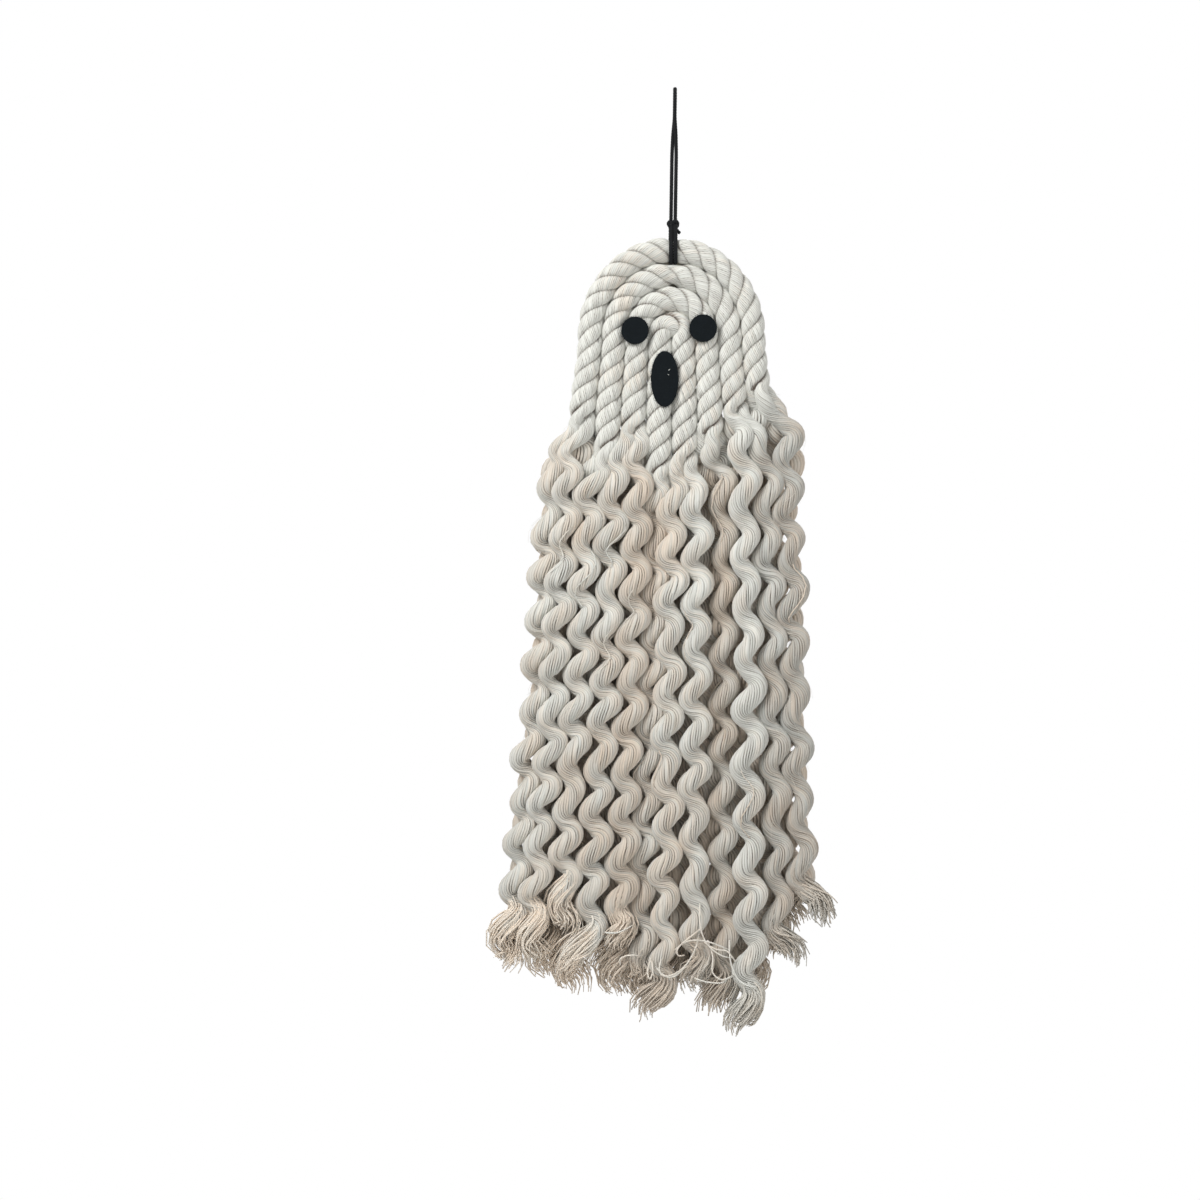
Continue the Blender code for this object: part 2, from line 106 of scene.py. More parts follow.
# Each free strand, left to right: its shift across, its depth and the drop of its tip
FRONT_TAILS = (
    (0.0000, -0.0005, 0.256), (-0.0024, -0.0040, 0.254), (-0.0020, -0.0045, 0.242),
    (-0.0010, -0.0045, 0.258), (0.0000, -0.0045, 0.248), (-0.0010, -0.0010, 0.266),
    (-0.0034, -0.0045, 0.276), (-0.0020, -0.0045, 0.264), (0.0000, -0.0010, 0.274),
    (0.0000, -0.0060, 0.282), (0.0000, -0.0030, 0.254), (0.0000, -0.0025, 0.238),
)
BACK_TAILS = (
    (0.0044, 0.0066, 0.250), (0.0030, 0.0074, 0.260), (0.0020, 0.0066, 0.266),
    (0.0010, 0.0074, 0.256), (0.0010, 0.0066, 0.268), (0.0000, 0.0074, 0.270),
    (0.0000, 0.0066, 0.264), (-0.0010, 0.0074, 0.260), (-0.0010, 0.0066, 0.270),
    (-0.0020, 0.0074, 0.266), (-0.0030, 0.0066, 0.252), (-0.0044, 0.0074, 0.240),
)
TAIL_COUNT = len(FRONT_TAILS)

# The scene's own departures from those lines: back strands that swing in behind the gap beside
# a leg, with how far across and at which drop, and how much the waves and the bulk vary
BACK_SWINGS = {0: (0.0045, 0.042), 3: (0.0036, 0.060), 11: (0.0030, 0.042)}
SWING_SPAN = 0.011
REACH_VARIES = 0.30
WAVE_LEAD = 0.0013
DRIFT_REACH = (0.0008, 0.0005, 0.0)
BULK_VARIES = 0.07

# Rings between the turning points of those changes: of reach, lead, drift and bulk
REACH_STEP, LEAD_STEP, DRIFT_STEP, BULK_STEP = 17.0, 34.0, 22.0, 12.0

# Points of each part of a rope's course, and how many rings a strand has for each ring step of
# its rope or its drop, as its own line is longer
COURSE_POINTS = 400
LAID_RINGS = 1.36
FREE_RINGS = 1.15

# Round a strand: where a yarn's groove and its two shoulders lie in its share of the way round, the
# groove depth whose painted shade is full, and how much painted shade a shoulder takes beside its groove
YARN_PLACES = (0.0, 0.26, 0.74)
DEEP_GROOVE = 0.24
SHOULDER_SHADE = 0.10

# How a free strand swells on the outside of its bends, and in slow lobes round and along it
BEND_BULGE = 0.16
BULGE_LIMITS = (-0.06, 0.14)
LOBE_REACH = 0.07
LOBE_STEP = 9.0
LOBES = 5

# How much wider a laid strand is than its share of the rope, and the length in which it turns round
LAID_WIDENING = 1.18
ROUNDING_RUN = 0.006

# First seeds of the random numbers, one for each use of them
LINE_SEED, YARN_SEED, FRINGE_SEED, FLYAWAY_SEED, FELT_SEED = 100, 500, 900, 1500, 70

# Each front strand's brush: its spread over the strand's radius, its lean to the side, how far
# it curls in at the end, how much its yarns sway and its length over the usual one
BRUSHES = (
    (2.3, -0.20, 0.6, 1.2, 1.5), (2.2, -0.05, 0.6, 1.2, 1.4), (2.0, 0.00, 0.5, 1.0, 1.3),
    (2.6, -0.35, 0.0, 0.4, 1.0), (1.8, 0.00, 0.5, 1.0, 1.1), (2.0, 0.00, 0.4, 1.4, 1.0),
    (2.4, -0.22, 0.9, 0.8, 1.1), (1.8, 0.10, 0.2, 1.4, 1.1), (2.5, -0.10, 0.0, 0.5, 1.1),
    (2.6, -0.18, 1.0, 0.5, 1.0), (1.9, 0.20, 0.4, 0.8, 1.0), (1.8, 0.30, 0.0, 0.8, 1.0),
)
BACK_BRUSH = (2.1, 0.00, 0.7, 1.0, 1.2)

# The yarns of a brush: their points, the ranges of their widths and tones, and how far they
# stray; then the yarns and the flyaway fibres that stand off the length of a strand
BRUSH_POINTS = 10
BRUSH_WIDTHS = (0.8, 1.3)
BRUSH_TONES = (1.6, 2.3)
BRUSH_STRAY = (0.0019, 0.0014, 0.0006)
STANDING_YARNS = 3
FLYAWAY_POINTS = 6
FLYAWAY_RINGS = (4, 11)

# How creamy and how dim each front strand is, and those behind. The dimming is painted shade,
# strongest on the right-hand strands, and the back strands' dimmer, creamier colour is painted shade
# too. The head is paler, the free strands grow dimmer towards their tips, and the brushes grow
# dimmer from the fourth strand to the seventh, a painted shade
FRONT_SHADES = (
    (0.42, 0.3), (0.38, 0.3), (0.42, 0.4), (0.50, 0.4), (0.74, 0.6), (0.52, 0.9),
    (0.42, 0.4), (0.30, 0.4), (0.74, 1.0), (0.20, 0.3), (0.40, 1.5), (0.42, 1.8),
)
BACK_SHADE = (0.80, 0.3)
TIP_DIM = 0.5
LAID_WARMTH = -0.04
SHADE_EASE = 0.030
BRUSH_SHADE = 2.1
BRUSH_WARMTH = -0.20
TONE_WARMTH = 0.45

# Turn of the yarns round their strand, a metre: in the rope and in a free strand
LAID_YARN_TURN = -330.0
FREE_YARN_TURN = -185.0

# How the first rings of a free strand and of a laid one draw in to close their ends
FREE_END_SHARES = (0.84, 0.93, 0.98)
LAID_END_SHARES = (0.80, 0.92, 0.98)

# Radii of the fine fibres and yarns
FLYAWAY_RADIUS = 0.00006
STANDING_YARN_RADIUS = 0.00026
STRAY_RADIUS = 0.00034
FELT_FIBRE_RADIUS = 0.00004
LINT_RADIUS = 0.00010

# Loose yarns that cross the front of the hem: places across and up, from the loop's top, their
# depth and how far their ends come back from it
STRAY_YARNS = (
    ((-0.0286, -0.3440), (-0.0233, -0.3438), (-0.0175, -0.3411)),
    ((-0.0082, -0.3578), (-0.0047, -0.3619), (-0.0004, -0.3621), (0.0041, -0.3574), (0.0082, -0.3507),
     (0.0094, -0.3450)),
    ((-0.0004, -0.3513), (0.0024, -0.3480), (0.0069, -0.3464), (0.0131, -0.3472), (0.0184, -0.3493),
     (0.0219, -0.3511)),
    ((0.0059, -0.3615), (0.0113, -0.3636), (0.0176, -0.3643), (0.0208, -0.3635)),
    ((0.0219, -0.3472), (0.0214, -0.3525), (0.0228, -0.3586), (0.0253, -0.3635), (0.0298, -0.3658),
     (0.0333, -0.3656)),
    ((-0.0224, -0.3570), (-0.0228, -0.3541), (-0.0188, -0.3527), (-0.0143, -0.3534)),
    ((0.0099, -0.3322), (0.0093, -0.3384), (0.0105, -0.3446), (0.0130, -0.3495), (0.0183, -0.3534),
     (0.0227, -0.3543)),
    ((0.0108, -0.3419), (0.0046, -0.3464), (0.0001, -0.3503), (0.0007, -0.3534), (0.0036, -0.3532)),
    ((0.0095, -0.3464), (0.0068, -0.3534), (0.0024, -0.3596), (-0.0047, -0.3623), (-0.0074, -0.3596),
     (-0.0056, -0.3540)),
    ((0.0130, -0.3472), (0.0156, -0.3543), (0.0139, -0.3596), (0.0183, -0.3636), (0.0236, -0.3614)),
    ((0.0117, -0.3481), (0.0165, -0.3508), (0.0209, -0.3508), (0.0245, -0.3561)),
    ((-0.0100, -0.3543), (-0.0118, -0.3596), (-0.0105, -0.3636), (-0.0091, -0.3596), (-0.0096, -0.3552)),
)
STRAY_DEPTH = -0.0118
STRAY_BOW = 0.0035
STRAY_POINTS = 18
STRAY_TAIL = (6, 0)

# Felt and cord, in the sizes of the CAD source
FELT_THICKNESS = 0.0015
SEAT_GAP = 0.0003
FACE_PLACES = {
    "left_eye": (-0.0150, 0.0018, 0.0112, 0.0112),
    "right_eye": (0.0127, 0.0027, 0.0112, 0.0112),
    "mouth": (-0.0029, -0.0179, 0.0113, 0.0227),
}
PANEL_THICKNESS = 0.0020
PANEL_RIM = 0.0040
PANEL_DROP = 0.0140
CORD_DIAMETER = 0.0016
CORD_RADIUS = CORD_DIAMETER / 2.0
CORD_TWIN_GAP = 0.0002
LOOP_BEND_RADIUS = 0.0024
KNOT_SIZE = (0.0052, 0.0050, 0.0060)
KNOT_RISE = 0.0100
CORD_END_REACH = (0.0026, -0.0010, -0.0032)
WRAP_SHIFT = 0.0006
WRAP_X = HEAD_OFFSET_X + WRAP_SHIFT

# The two outer ropes inside the cord's wrap: their radius, a little fuller than in the CAD, how
# far to each side they keep it and the length over which they swell again
CINCHED_ROPE_RADIUS = 0.00412
CINCH_REACH = 0.0012
CINCH_EASE = 0.0030

# How far neighbouring strands press into each other: all of them, the laid ones more, until this
# far below the lay and less over this length, and the back ones more from the lay on
BASE_GIVE = 0.0002
LAID_GIVE, LAID_GIVE_RUN, LAID_GIVE_EASE = 0.0008, 0.012, 0.018
BACK_GIVE, BACK_GIVE_EASE = 0.0014, 0.006
NEIGHBOUR_REACH = 0.012
CORD_PRESS = 0.0001

# Where the painted shade in the creases between a rope's strands begins, over the rope's radius, and
# how far a free strand's core stops short of its tip and tapers, over its brush's length
CREASE_REACH, CREASE_EASE = 0.915, 0.12
CORE_SHORT = 0.34
CORE_TAPER = 0.55

# Looks of the felt and cord: relief of the felt, its grain and edge fibres, and the cord's plies
FACE_RELIEF = 0.00022
PANEL_RELIEF = 0.00028
PANEL_GRAIN = 0.0005
TANGLE_SIZE = 0.0011
EDGE_FIBRES = 170
ROUND_SIDES = 96
PLY_STEP = 0.00042
PLY_TONES = (0.2, 0.5, 0.8)
PLY_WIDENING = 1.08

# How the photographed object is framed
PIXEL = 0.000408
PHOTO_SIDE = 1200
PHOTO_CENTRE_X = -75 * PIXEL
PHOTO_CENTRE_Z = -513 * PIXEL
SENSOR_WIDTH = 36.0

# Each lamp's place and size, and the backdrop's distance behind the ghost
LAMPS = {
    "key": ((-0.62, -0.68, 0.52), 0.5),
    "fill": ((0.95, -1.00, 0.05), 1.1),
    "back": ((0.55, 1.10, 0.25), 1.0),
}
STAGE_WIDTH = 12.0
BACKDROP_Y = 1.6


def length_setting(name, description, default, low, high):
    """A length that the panel shows."""
    return bpy.props.FloatProperty(
        name=name, description=description, default=default, min=low, max=high, unit="LENGTH", precision=5)


def number_setting(name, description, default, low, high, unit="NONE"):
    """A plain number, or a power, that the panel shows."""
    return bpy.props.FloatProperty(
        name=name, description=description, default=default, min=low, max=high, unit=unit)


def count_setting(name, description, default, low, high):
    """A whole number that the panel shows."""
    return bpy.props.IntProperty(name=name, description=description, default=default, min=low, max=high)


def colour_setting(name, description, default):
    """A colour that the panel shows."""
    return bpy.props.FloatVectorProperty(
        name=name, description=description, default=default, size=3, min=0.0, max=1.0, subtype="COLOR")


class RopeLook(bpy.types.PropertyGroup):
    """Sizes and colours of the cotton ropes and strands."""

    helix_share: number_setting(
        "Helix share", "Distance of a laid strand from its rope's centre line, over the rope's radius",
        0.565, 0.3, 0.8)
    press: length_setting(
        "Press", "How far each rope and strand presses into its neighbour", 0.00042, 0.0, 0.001)
    fullness: number_setting(
        "Fullness", "How squarely a laid strand fills its share of the rope", 2.25, 2.0, 5.0)
    front_radius: length_setting(
        "Front strand radius", "Radius of a free strand in front, before its neighbours press it",
        0.0039, 0.001, 0.01)
    back_radius: length_setting(
        "Back strand radius", "Radius of a free strand behind, before its neighbours press it",
        0.0058, 0.001, 0.01)
    yarns: count_setting("Yarns", "Yarns that show round a strand", 21, 8, 60)
    ring_step: length_setting(
        "Ring step", "Length of strand between two rings of its mesh", 0.00105, 0.0005, 0.005)
    cotton: colour_setting(
        "Cotton", "Colour of the cotton where it is clean and pale", (0.87, 0.885, 0.84))
    warm_cotton: colour_setting(
        "Warm cotton", "Colour of the cotton where it is creamier", (0.82, 0.715, 0.60))
    # Painted shade: the deep brown laid into the grooves between yarns and the creases between a rope's
    # strands
    painted_groove_shade: colour_setting("Deep cotton", "Colour between parted yarns", (0.13, 0.085, 0.058))


class FrayLook(bpy.types.PropertyGroup):
    """Sizes of the frayed ends and loose fibres."""

    brush_length: length_setting(
        "Brush length", "Length of the loose yarns at a strand's tip", 0.024, 0.005, 0.05)
    brush_yarns: count_setting("Brush yarns", "Loose yarns at a strand's tip", 100, 4, 300)
    yarn_radius: length_setting("Yarn radius", "Radius of a loose yarn", 0.00038, 0.0001, 0.001)
    flyaways: count_setting("Flyaways", "Fine fibres that stand off each free strand", 60, 0, 200)


class FeltLook(bpy.types.PropertyGroup):
    """Sizes and colours of the felt pieces."""

    voxel: length_setting("Grain", "Size of the felt's surface grain", 0.00032, 0.0002, 0.001)
    black_felt: colour_setting(
        "Black felt", "Colour of the eyes and the mouth", (0.0058, 0.0085, 0.0105))
    cream_felt: colour_setting("Cream felt", "Colour of the backing", (0.72, 0.67, 0.57))


class CordLook(bpy.types.PropertyGroup):
    """Sizes and colour of the hanging cord."""

    ply_radius: length_setting("Ply radius", "Radius of one ply of the cord", 0.00043, 0.0001, 0.001)
    ply_turn: length_setting(
        "Ply turn", "Length in which the plies turn once round the cord", 0.0034, 0.001, 0.02)
    black_cord: colour_setting("Black cord", "Colour of the cord", (0.0060, 0.0065, 0.0075))


class StageLook(bpy.types.PropertyGroup):
    """Camera, lamps and background."""

    camera_distance: length_setting(
        "Camera distance", "Distance of the camera in front of the ghost", 1.25, 0.4, 5.0)
    floor_drop: length_setting(
        "Floor drop", "Height of the ghost's lowest tip above the floor", 0.55, 0.0, 2.0)
    key_power: number_setting("Key lamp", "Power of the main lamp", 10.6, 0.0, 100.0, "POWER")
    fill_power: number_setting(
        "Fill lamp", "Power of the lamp on the other side", 4.3, 0.0, 100.0, "POWER")
    back_power: number_setting(
        "Back lamp", "Power of the lamp behind the ghost", 7.0, 0.0, 100.0, "POWER")
    sky_level: number_setting("Sky level", "Level of the even light from all round", 0.50, 0.0, 2.0)


LOOKS = {"rope": RopeLook, "fray": FrayLook, "felt": FeltLook, "cord": CordLook, "stage": StageLook}


def look(name):
    """The scene's settings of one kind."""
    return getattr(bpy.context.scene, "ghost_" + name)


# Lines of the ropes and strands


def smooth_step(value):
    """Ease from 0 to 1 as value runs from 0 to 1."""
    eased = np.clip(value, 0.0, 1.0)
    return eased * eased * (3.0 - 2.0 * eased)


def columns(*values):
    """Points from their three coordinates, each a number or a row of numbers."""
    return np.column_stack(np.broadcast_arrays(*values)).astype(float)


def leg_pitch(drop):
    """Distance between two legs of the head, at a drop below the arch's centre."""
    return SIDE_PITCH + LEG_SPREAD * smooth_step(drop / LEG_SPREAD_DROP)


def leg_x(side, ring, drop):
    """Place of a rope's leg across the head, at a drop below the arch's centre."""
    return HEAD_OFFSET_X + side * (ring + 0.5) * leg_pitch(drop)


def rope_radius(heights, ring):
    """Radius of a rope that just presses its neighbours, at heights from the arch's centre."""
    climb = np.clip(heights / ((ring + 0.5) * CROWN_PITCH), 0.0, 1.0) ** 2
    crown_pitch = SIDE_PITCH + (CROWN_PITCH - SIDE_PITCH) * climb
    pitch = np.where(heights > 0.0, crown_pitch, leg_pitch(-heights))
    return pitch / 2.0 + look("rope").press


def rope_course(ring, left_drop, right_drop):
    """Points, outward normals and run lengths of a rope's centre line, left to right."""
    left = np.linspace(left_drop, 0.0, COURSE_POINTS)[:-1]
    right = np.linspace(0.0, right_drop, COURSE_POINTS)[1:]
    angles = np.linspace(HALF_TURN, 0.0, COURSE_POINTS)
    across = np.concatenate((
        leg_x(-1.0, ring, left), HEAD_OFFSET_X + (ring + 0.5) * SIDE_PITCH * np.cos(angles),
        leg_x(1.0, ring, right)))
    height = np.concatenate((-left, (ring + 0.5) * CROWN_PITCH * np.sin(angles), -right))
    points = columns(across, 0.0, height + ARCH_CENTRE_Z)
    tangents = np.gradient(points, axis=0)
    normals = columns(-tangents[:, 2], 0.0, tangents[:, 0])
    return points, normals, run_lengths(points)


def run_lengths(points):
    """Length run at each point of a line."""
    steps = np.linalg.norm(np.diff(points, axis=0), axis=1)
    return np.concatenate(([0.0], np.cumsum(steps)))


def read_rows(places, run, rows):
    """Rows of numbers read at places along their run."""
    return np.column_stack([np.interp(places, run, rows[:, axis]) for axis in range(rows.shape[1])])


def unit_rows(rows):
    """Rows scaled to length one."""
    return rows / np.maximum(np.linalg.norm(rows, axis=-1, keepdims=True), 1e-12)


def spokes_at(normals, binormals, angles):
    """Directions at angles round a line, from its two cross directions."""
    angles = np.asarray(angles)[..., None]
    return np.cos(angles) * normals + np.sin(angles) * binormals


def strand_offset(normals, angles, radius):
    """Offsets of a strand from its rope's centre line, for a right-handed lay."""
    angles = np.asarray(angles)[..., None]
    return np.asarray(radius)[..., None] * (np.cos(angles) * normals - np.sin(angles) * DEPTH_AXIS)


def eased_twist(fallen):
    """Angle that a strand still turns below the end of the lay, where the twist dies out."""
    share = np.minimum(fallen / LAY_EASE_DROP, 1.0)
    return TURN * LAY_EASE_DROP / ROPE_LAY * (share - share ** 3 + share ** 4 / 2.0)


def slot_x(slot, shift, drop):
    """Place of a free strand across the skirt, at a drop below the arch's centre."""
    spacing = np.interp(drop, SKIRT_LEVELS, SKIRT_SPACINGS)
    lean = np.interp(drop, SKIRT_LEVELS, SKIRT_LEANS)
    return HEAD_OFFSET_X + lean + (slot - (TAIL_COUNT - 1) / 2.0) * spacing + shift


def wave_offset(slot, row, drop):
    """Offset of a free strand's wave, a flattened right-handed helix, staggered in the back row."""
    share = smooth_step((slot / (TAIL_COUNT - 1) - 0.5) / 0.35)
    length = WAVE_LENGTH + (WIDE_WAVE_LENGTH - WAVE_LENGTH) * share
    level = WAVE_LEVEL + WAVE_LAG * (slot - TAIL_COUNT / 2.0)
    angle = TURN * ((level - drop) / length + BACK_WAVE_SHARE * row)
    return columns(WAVE_REACH * np.cos(angle), WAVE_DEPTH * np.sin(angle), 0.0)


def slow_noise(rng, count, step, width=1):
    """Smooth random values from -1 to 1 along a run of count places, in width columns."""
    knots = max(int(count / step) + 3, 4)
    values = rng.uniform(-1.0, 1.0, (knots, width))
    places = np.linspace(0.0, knots - 1.001, count)
    low = places.astype(int)
    share = smooth_step(places - low)[:, None]
    return values[low] * (1.0 - share) + values[low + 1] * share


def tail_rows(side, ring, laid_drop, laid_angle, tail, step, rope):
    """Points and wanted radii of one free strand, from the end of the lay down to its tip."""
    slot, row, (shift, depth, tip_drop) = tail
    drops = np.linspace(laid_drop, tip_drop, int((tip_drop - laid_drop) * FREE_RINGS / step) + 1)[1:]
    fallen = drops - laid_drop
    settled = smooth_step(fallen / SETTLE_DROP)
    untwisted = smooth_step(fallen / UNTWIST_DROP)[:, None]
    leg_place = leg_x(side, ring, drops)
    across = leg_place + (slot_x(slot, shift, drops) - leg_place) * settled
    base = columns(across, depth * settled, ARCH_CENTRE_Z - drops)
    turned = laid_angle + side * eased_twist(fallen)
    outer = float(rope_radius(np.array(-laid_drop), ring))
    helix = rope.helix_share * outer
    laid = strand_offset(np.array((side, 0.0, 0.0)), turned, np.full(len(drops), helix))
    rng = np.random.default_rng(LINE_SEED + 40 * row + slot)
    reach = 1.0 + REACH_VARIES * slow_noise(rng, len(drops), REACH_STEP)
    ahead = WAVE_LEAD * slow_noise(rng, len(drops), LEAD_STEP)[:, 0] * settled
    drift = slow_noise(rng, len(drops), DRIFT_STEP, 3) * DRIFT_REACH * settled[:, None]
    wave = wave_offset(slot, row, drops + ahead) * reach
    points = base + laid * (1.0 - untwisted) + (wave + drift) * untwisted
    swing, level = BACK_SWINGS.get(slot, (0.0, 0.0)) if row else (0.0, 0.0)
    points[:, 0] += swing * np.exp(-((drops - level) / SWING_SPAN) ** 2) * settled ** 0.5
    full = rope.back_radius if row else rope.front_radius
    grown = smooth_step(fallen / ((0.3 if row else 0.6) * FLUFF_DROP))
    radii = outer - helix + (full - outer + helix) * grown
    bulk = slow_noise(rng, len(drops), BULK_STEP)[:, 0]
    return points, radii * (1.0 + BULK_VARIES * bulk * settled)


def share_out_tails():
    """Give each leg the skirt places of its strands: two in front, then one, by turns."""
    front = [(slot, 0, tail) for slot, tail in enumerate(FRONT_TAILS)]
    back = [(slot, 1, tail) for slot, tail in enumerate(BACK_TAILS)]
    shares = []
    for leg in range(2 * ROPE_COUNT):
        front_count = 2 - leg % 2
        back_count = STRANDS_PER_ROPE - front_count
        shares.append((front[:front_count], back[:back_count]))
        front, back = front[front_count:], back[back_count:]
    return shares


def match_tails(offsets, share):
    """Pair a leg's strands with its skirt places: front or back first, then left to right."""
    front, back = share
    by_depth = sorted(range(len(offsets)), key=lambda strand: offsets[strand][1])
    front_strands = sorted(by_depth[:len(front)], key=lambda strand: offsets[strand][0])
    back_strands = sorted(by_depth[len(front):], key=lambda strand: offsets[strand][0])
    return dict(zip(front_strands + back_strands, front + back))


def transport_frames(points):
    """Tangents and two cross directions along a line, with no twist of their own."""
    tangents = unit_rows(np.gradient(points, axis=0))
    first = np.cross(tangents[0], DEPTH_AXIS)
    if np.linalg.norm(first) < 0.1:
        first = np.cross(tangents[0], (1.0, 0.0, 0.0))
    normals = np.empty_like(points)
    normal = first / np.linalg.norm(first)
    for index, tangent in enumerate(tangents):
        normal = normal - tangent * np.dot(normal, tangent)
        normal = normal / np.linalg.norm(normal)
        normals[index] = normal
    return tangents, normals, np.cross(tangents, normals)


def rope_strands(ring, shares, rope):
    """The three strands of one rope, each from its left tip to its right tip."""
    legs = (ROPE_COUNT - 1 - ring, ROPE_COUNT + ring)
    points, normals, run = rope_course(ring, LAID_DROPS[legs[0]], LAID_DROPS[legs[1]])
    length = run[-1]
    run_out = float(eased_twist(LAY_EASE_DROP))
    strand_turns = math.floor(STRANDS_PER_ROPE * length / ROPE_LAY) + 0.5
    turned = TURN * strand_turns / STRANDS_PER_ROPE - 2.0 * run_out
    first_angle = run_out + (TURN / 4.0 if legs[0] % 2 else -TURN / 4.0)
    first_angles = [first_angle + TURN * strand / STRANDS_PER_ROPE for strand in range(STRANDS_PER_ROPE)]
    tails = []
    for leg, side, end_turn in zip(legs, (-1.0, 1.0), (0.0, turned)):
        outward = np.array((side, 0.0, 0.0))
        angles = [angle + end_turn for angle in first_angles]
        offsets = [strand_offset(outward, angle + side * run_out, 1.0) for angle in angles]
        pairs = match_tails(offsets, shares[leg])
        tails.append([(pairs[strand], tail_rows(
            side, ring, LAID_DROPS[leg], angle, pairs[strand], rope.ring_step, rope))
            for strand, angle in enumerate(angles)])
    places = np.linspace(0.0, length, int(length * LAID_RINGS / rope.ring_step))
    centres = read_rows(places, run, points)
    outwards = unit_rows(read_rows(places, run, normals))
    outer = rope_radius(centres[:, 2] - ARCH_CENTRE_Z, ring)
    if ring >= ROPE_COUNT - 2:
        reach = smooth_step((np.abs(centres[:, 0] - WRAP_X) - CINCH_REACH) / CINCH_EASE)
        cinched = CINCHED_ROPE_RADIUS + (outer - CINCHED_ROPE_RADIUS) * reach
        outer = np.where(centres[:, 2] > ARCH_CENTRE_Z, cinched, outer)
    ahead = unit_rows(np.cross(outwards, DEPTH_AXIS))
    strands = []
    for strand, start in enumerate(first_angles):
        offsets = strand_offset(outwards, start + turned * places / length, rope.helix_share * outer)
        laid = centres + offsets
        left_tail, (left_points, left_radii) = tails[0][strand]
        right_tail, (right_points, right_radii) = tails[1][strand]
        line = np.vstack((left_points[::-1], laid, right_points))
        laid_radii = outer * (1.0 - rope.helix_share)
        strands.append({
            "name": f"{ROPE_NAMES[ring]}_rope_strand_{strand + 1}",
            "points": line,
            "radii": np.concatenate((left_radii[::-1], laid_radii, right_radii)),
            "first": len(left_points),
            "last": len(left_points) + len(laid) - 1,
            "left": left_tail,
            "right": right_tail,
            "axis": centres,
            "ahead": ahead,
            "outer": outer,
            "rows": np.repeat((left_tail[1], 0.0, right_tail[1]),
                              (len(left_points), len(laid), len(right_points))),
        })
    return strands


def knot_centre():
    """Centre of the hanging cord's knot, above the outermost rope's crown."""
    return np.array((WRAP_X, 0.0, ARCH_CENTRE_Z + CROWN_RISE + KNOT_RISE))


def wrap_route(side):
    """One strand of the cord's wrap: out of the knot, round the rope and back into it."""
    across = WRAP_X + side * (CORD_RADIUS + CORD_TWIN_GAP / 2.0)
    rope_z = ARCH_CENTRE_Z + CROWN_RISE
    radius = CROWN_PITCH / 2.0
    touch = math.acos(radius / KNOT_RISE)
    angles = np.linspace(touch, TURN - touch, 60)
    ring = columns(across, -radius * np.sin(angles), rope_z + radius * np.cos(angles))
    depth = CORD_RADIUS + CORD_TWIN_GAP
    return np.vstack(((across, -depth, rope_z + KNOT_RISE), ring, (across, depth, rope_z + KNOT_RISE)))


def loop_route():
    """The hanging loop: up from the knot, over the top and down again, its two sides close."""
    start = knot_centre()
    narrow = CORD_RADIUS + CORD_TWIN_GAP / 3.0
    bend_z = -CORD_RADIUS - LOOP_BEND_RADIUS
    share = np.linspace(0.0, 1.0, 80)
    turned = smooth_step((share - 0.45) / 0.40) * TURN / 4.0
    reach = narrow + (LOOP_BEND_RADIUS - narrow) * smooth_step((share - 0.60) / 0.40)
    centre = start[0] * (1.0 - share)
    height = start[2] + (bend_z - start[2]) * share
    across, depth = reach * np.cos(turned), -reach * np.sin(turned)
    rising = columns(centre + across, depth, height)
    falling = columns(centre - across, -depth, height)[::-1]
    angles = np.linspace(0.0, HALF_TURN, 24)[1:-1]
    bend = columns(0.0, -LOOP_BEND_RADIUS * np.cos(angles), bend_z + LOOP_BEND_RADIUS * np.sin(angles))
    return np.vstack((rising, bend, falling))


def fit_radii(strands):
    """Press each strand thinner where a neighbour or the cord leaves it less room."""
    cord = np.vstack((wrap_route(-1.0), wrap_route(1.0)))
    for strand in strands:
        index = np.arange(len(strand["points"]))
        fallen = np.maximum(strand["first"] - index, index - strand["last"]) * look("rope").ring_step
        strand["give"] = (
            BASE_GIVE + LAID_GIVE * (1.0 - smooth_step((fallen - LAID_GIVE_RUN) / LAID_GIVE_EASE))
            + BACK_GIVE * strand["rows"] * smooth_step(fallen / BACK_GIVE_EASE))
    for strand in strands:
        places = strand["points"]
        room = np.full(len(places), np.inf)
        low, high = places.min(axis=0) - NEIGHBOUR_REACH, places.max(axis=0) + NEIGHBOUR_REACH
        for other in strands:
            others = other["points"]
            if other is strand or np.any(others.min(axis=0) > high) or np.any(others.max(axis=0) < low):
                continue
            gaps = np.linalg.norm(places[:, None, :] - others[None, :, :], axis=2)
            gaps += strand["give"][:, None] + other["give"][None, :]
            shares = strand["radii"][:, None] / (strand["radii"][:, None] + other["radii"][None, :])
            room = np.minimum(room, np.min(gaps * shares, axis=1))
        near = np.linalg.norm(places[:, None, :] - cord[None, :, :], axis=2).min(axis=1)
        room = np.minimum(room, near - CORD_RADIUS + CORD_PRESS)
        strand["fitted"] = np.minimum(strand["radii"], room)
    for strand in strands:
        fitted = strand["fitted"]
        padded = np.concatenate((fitted[:1], fitted[:1], fitted, fitted[-1:], fitted[-1:]))
        strand["fitted"] = sum(padded[shift:shift + len(fitted)] for shift in range(5)) / 5.0


@functools.lru_cache(maxsize=1)
def strand_plans():
    """Lines, radii and cross directions of all the rope strands."""
    rope = look("rope")
    shares = share_out_tails()
    strands = [strand for ring in range(ROPE_COUNT) for strand in rope_strands(ring, shares, rope)]
    fit_radii(strands)
    for strand in strands:
        strand["tangents"], strand["normals"], strand["binormals"] = transport_frames(strand["points"])
        strand["run"] = run_lengths(strand["points"])
    return strands


# Meshes


def mark_slot(piece, slot, *nodes):
    """Hide the CAD nodes that a piece stands for; the slot is not used."""
    if nodes:
        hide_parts(*nodes)
    return piece


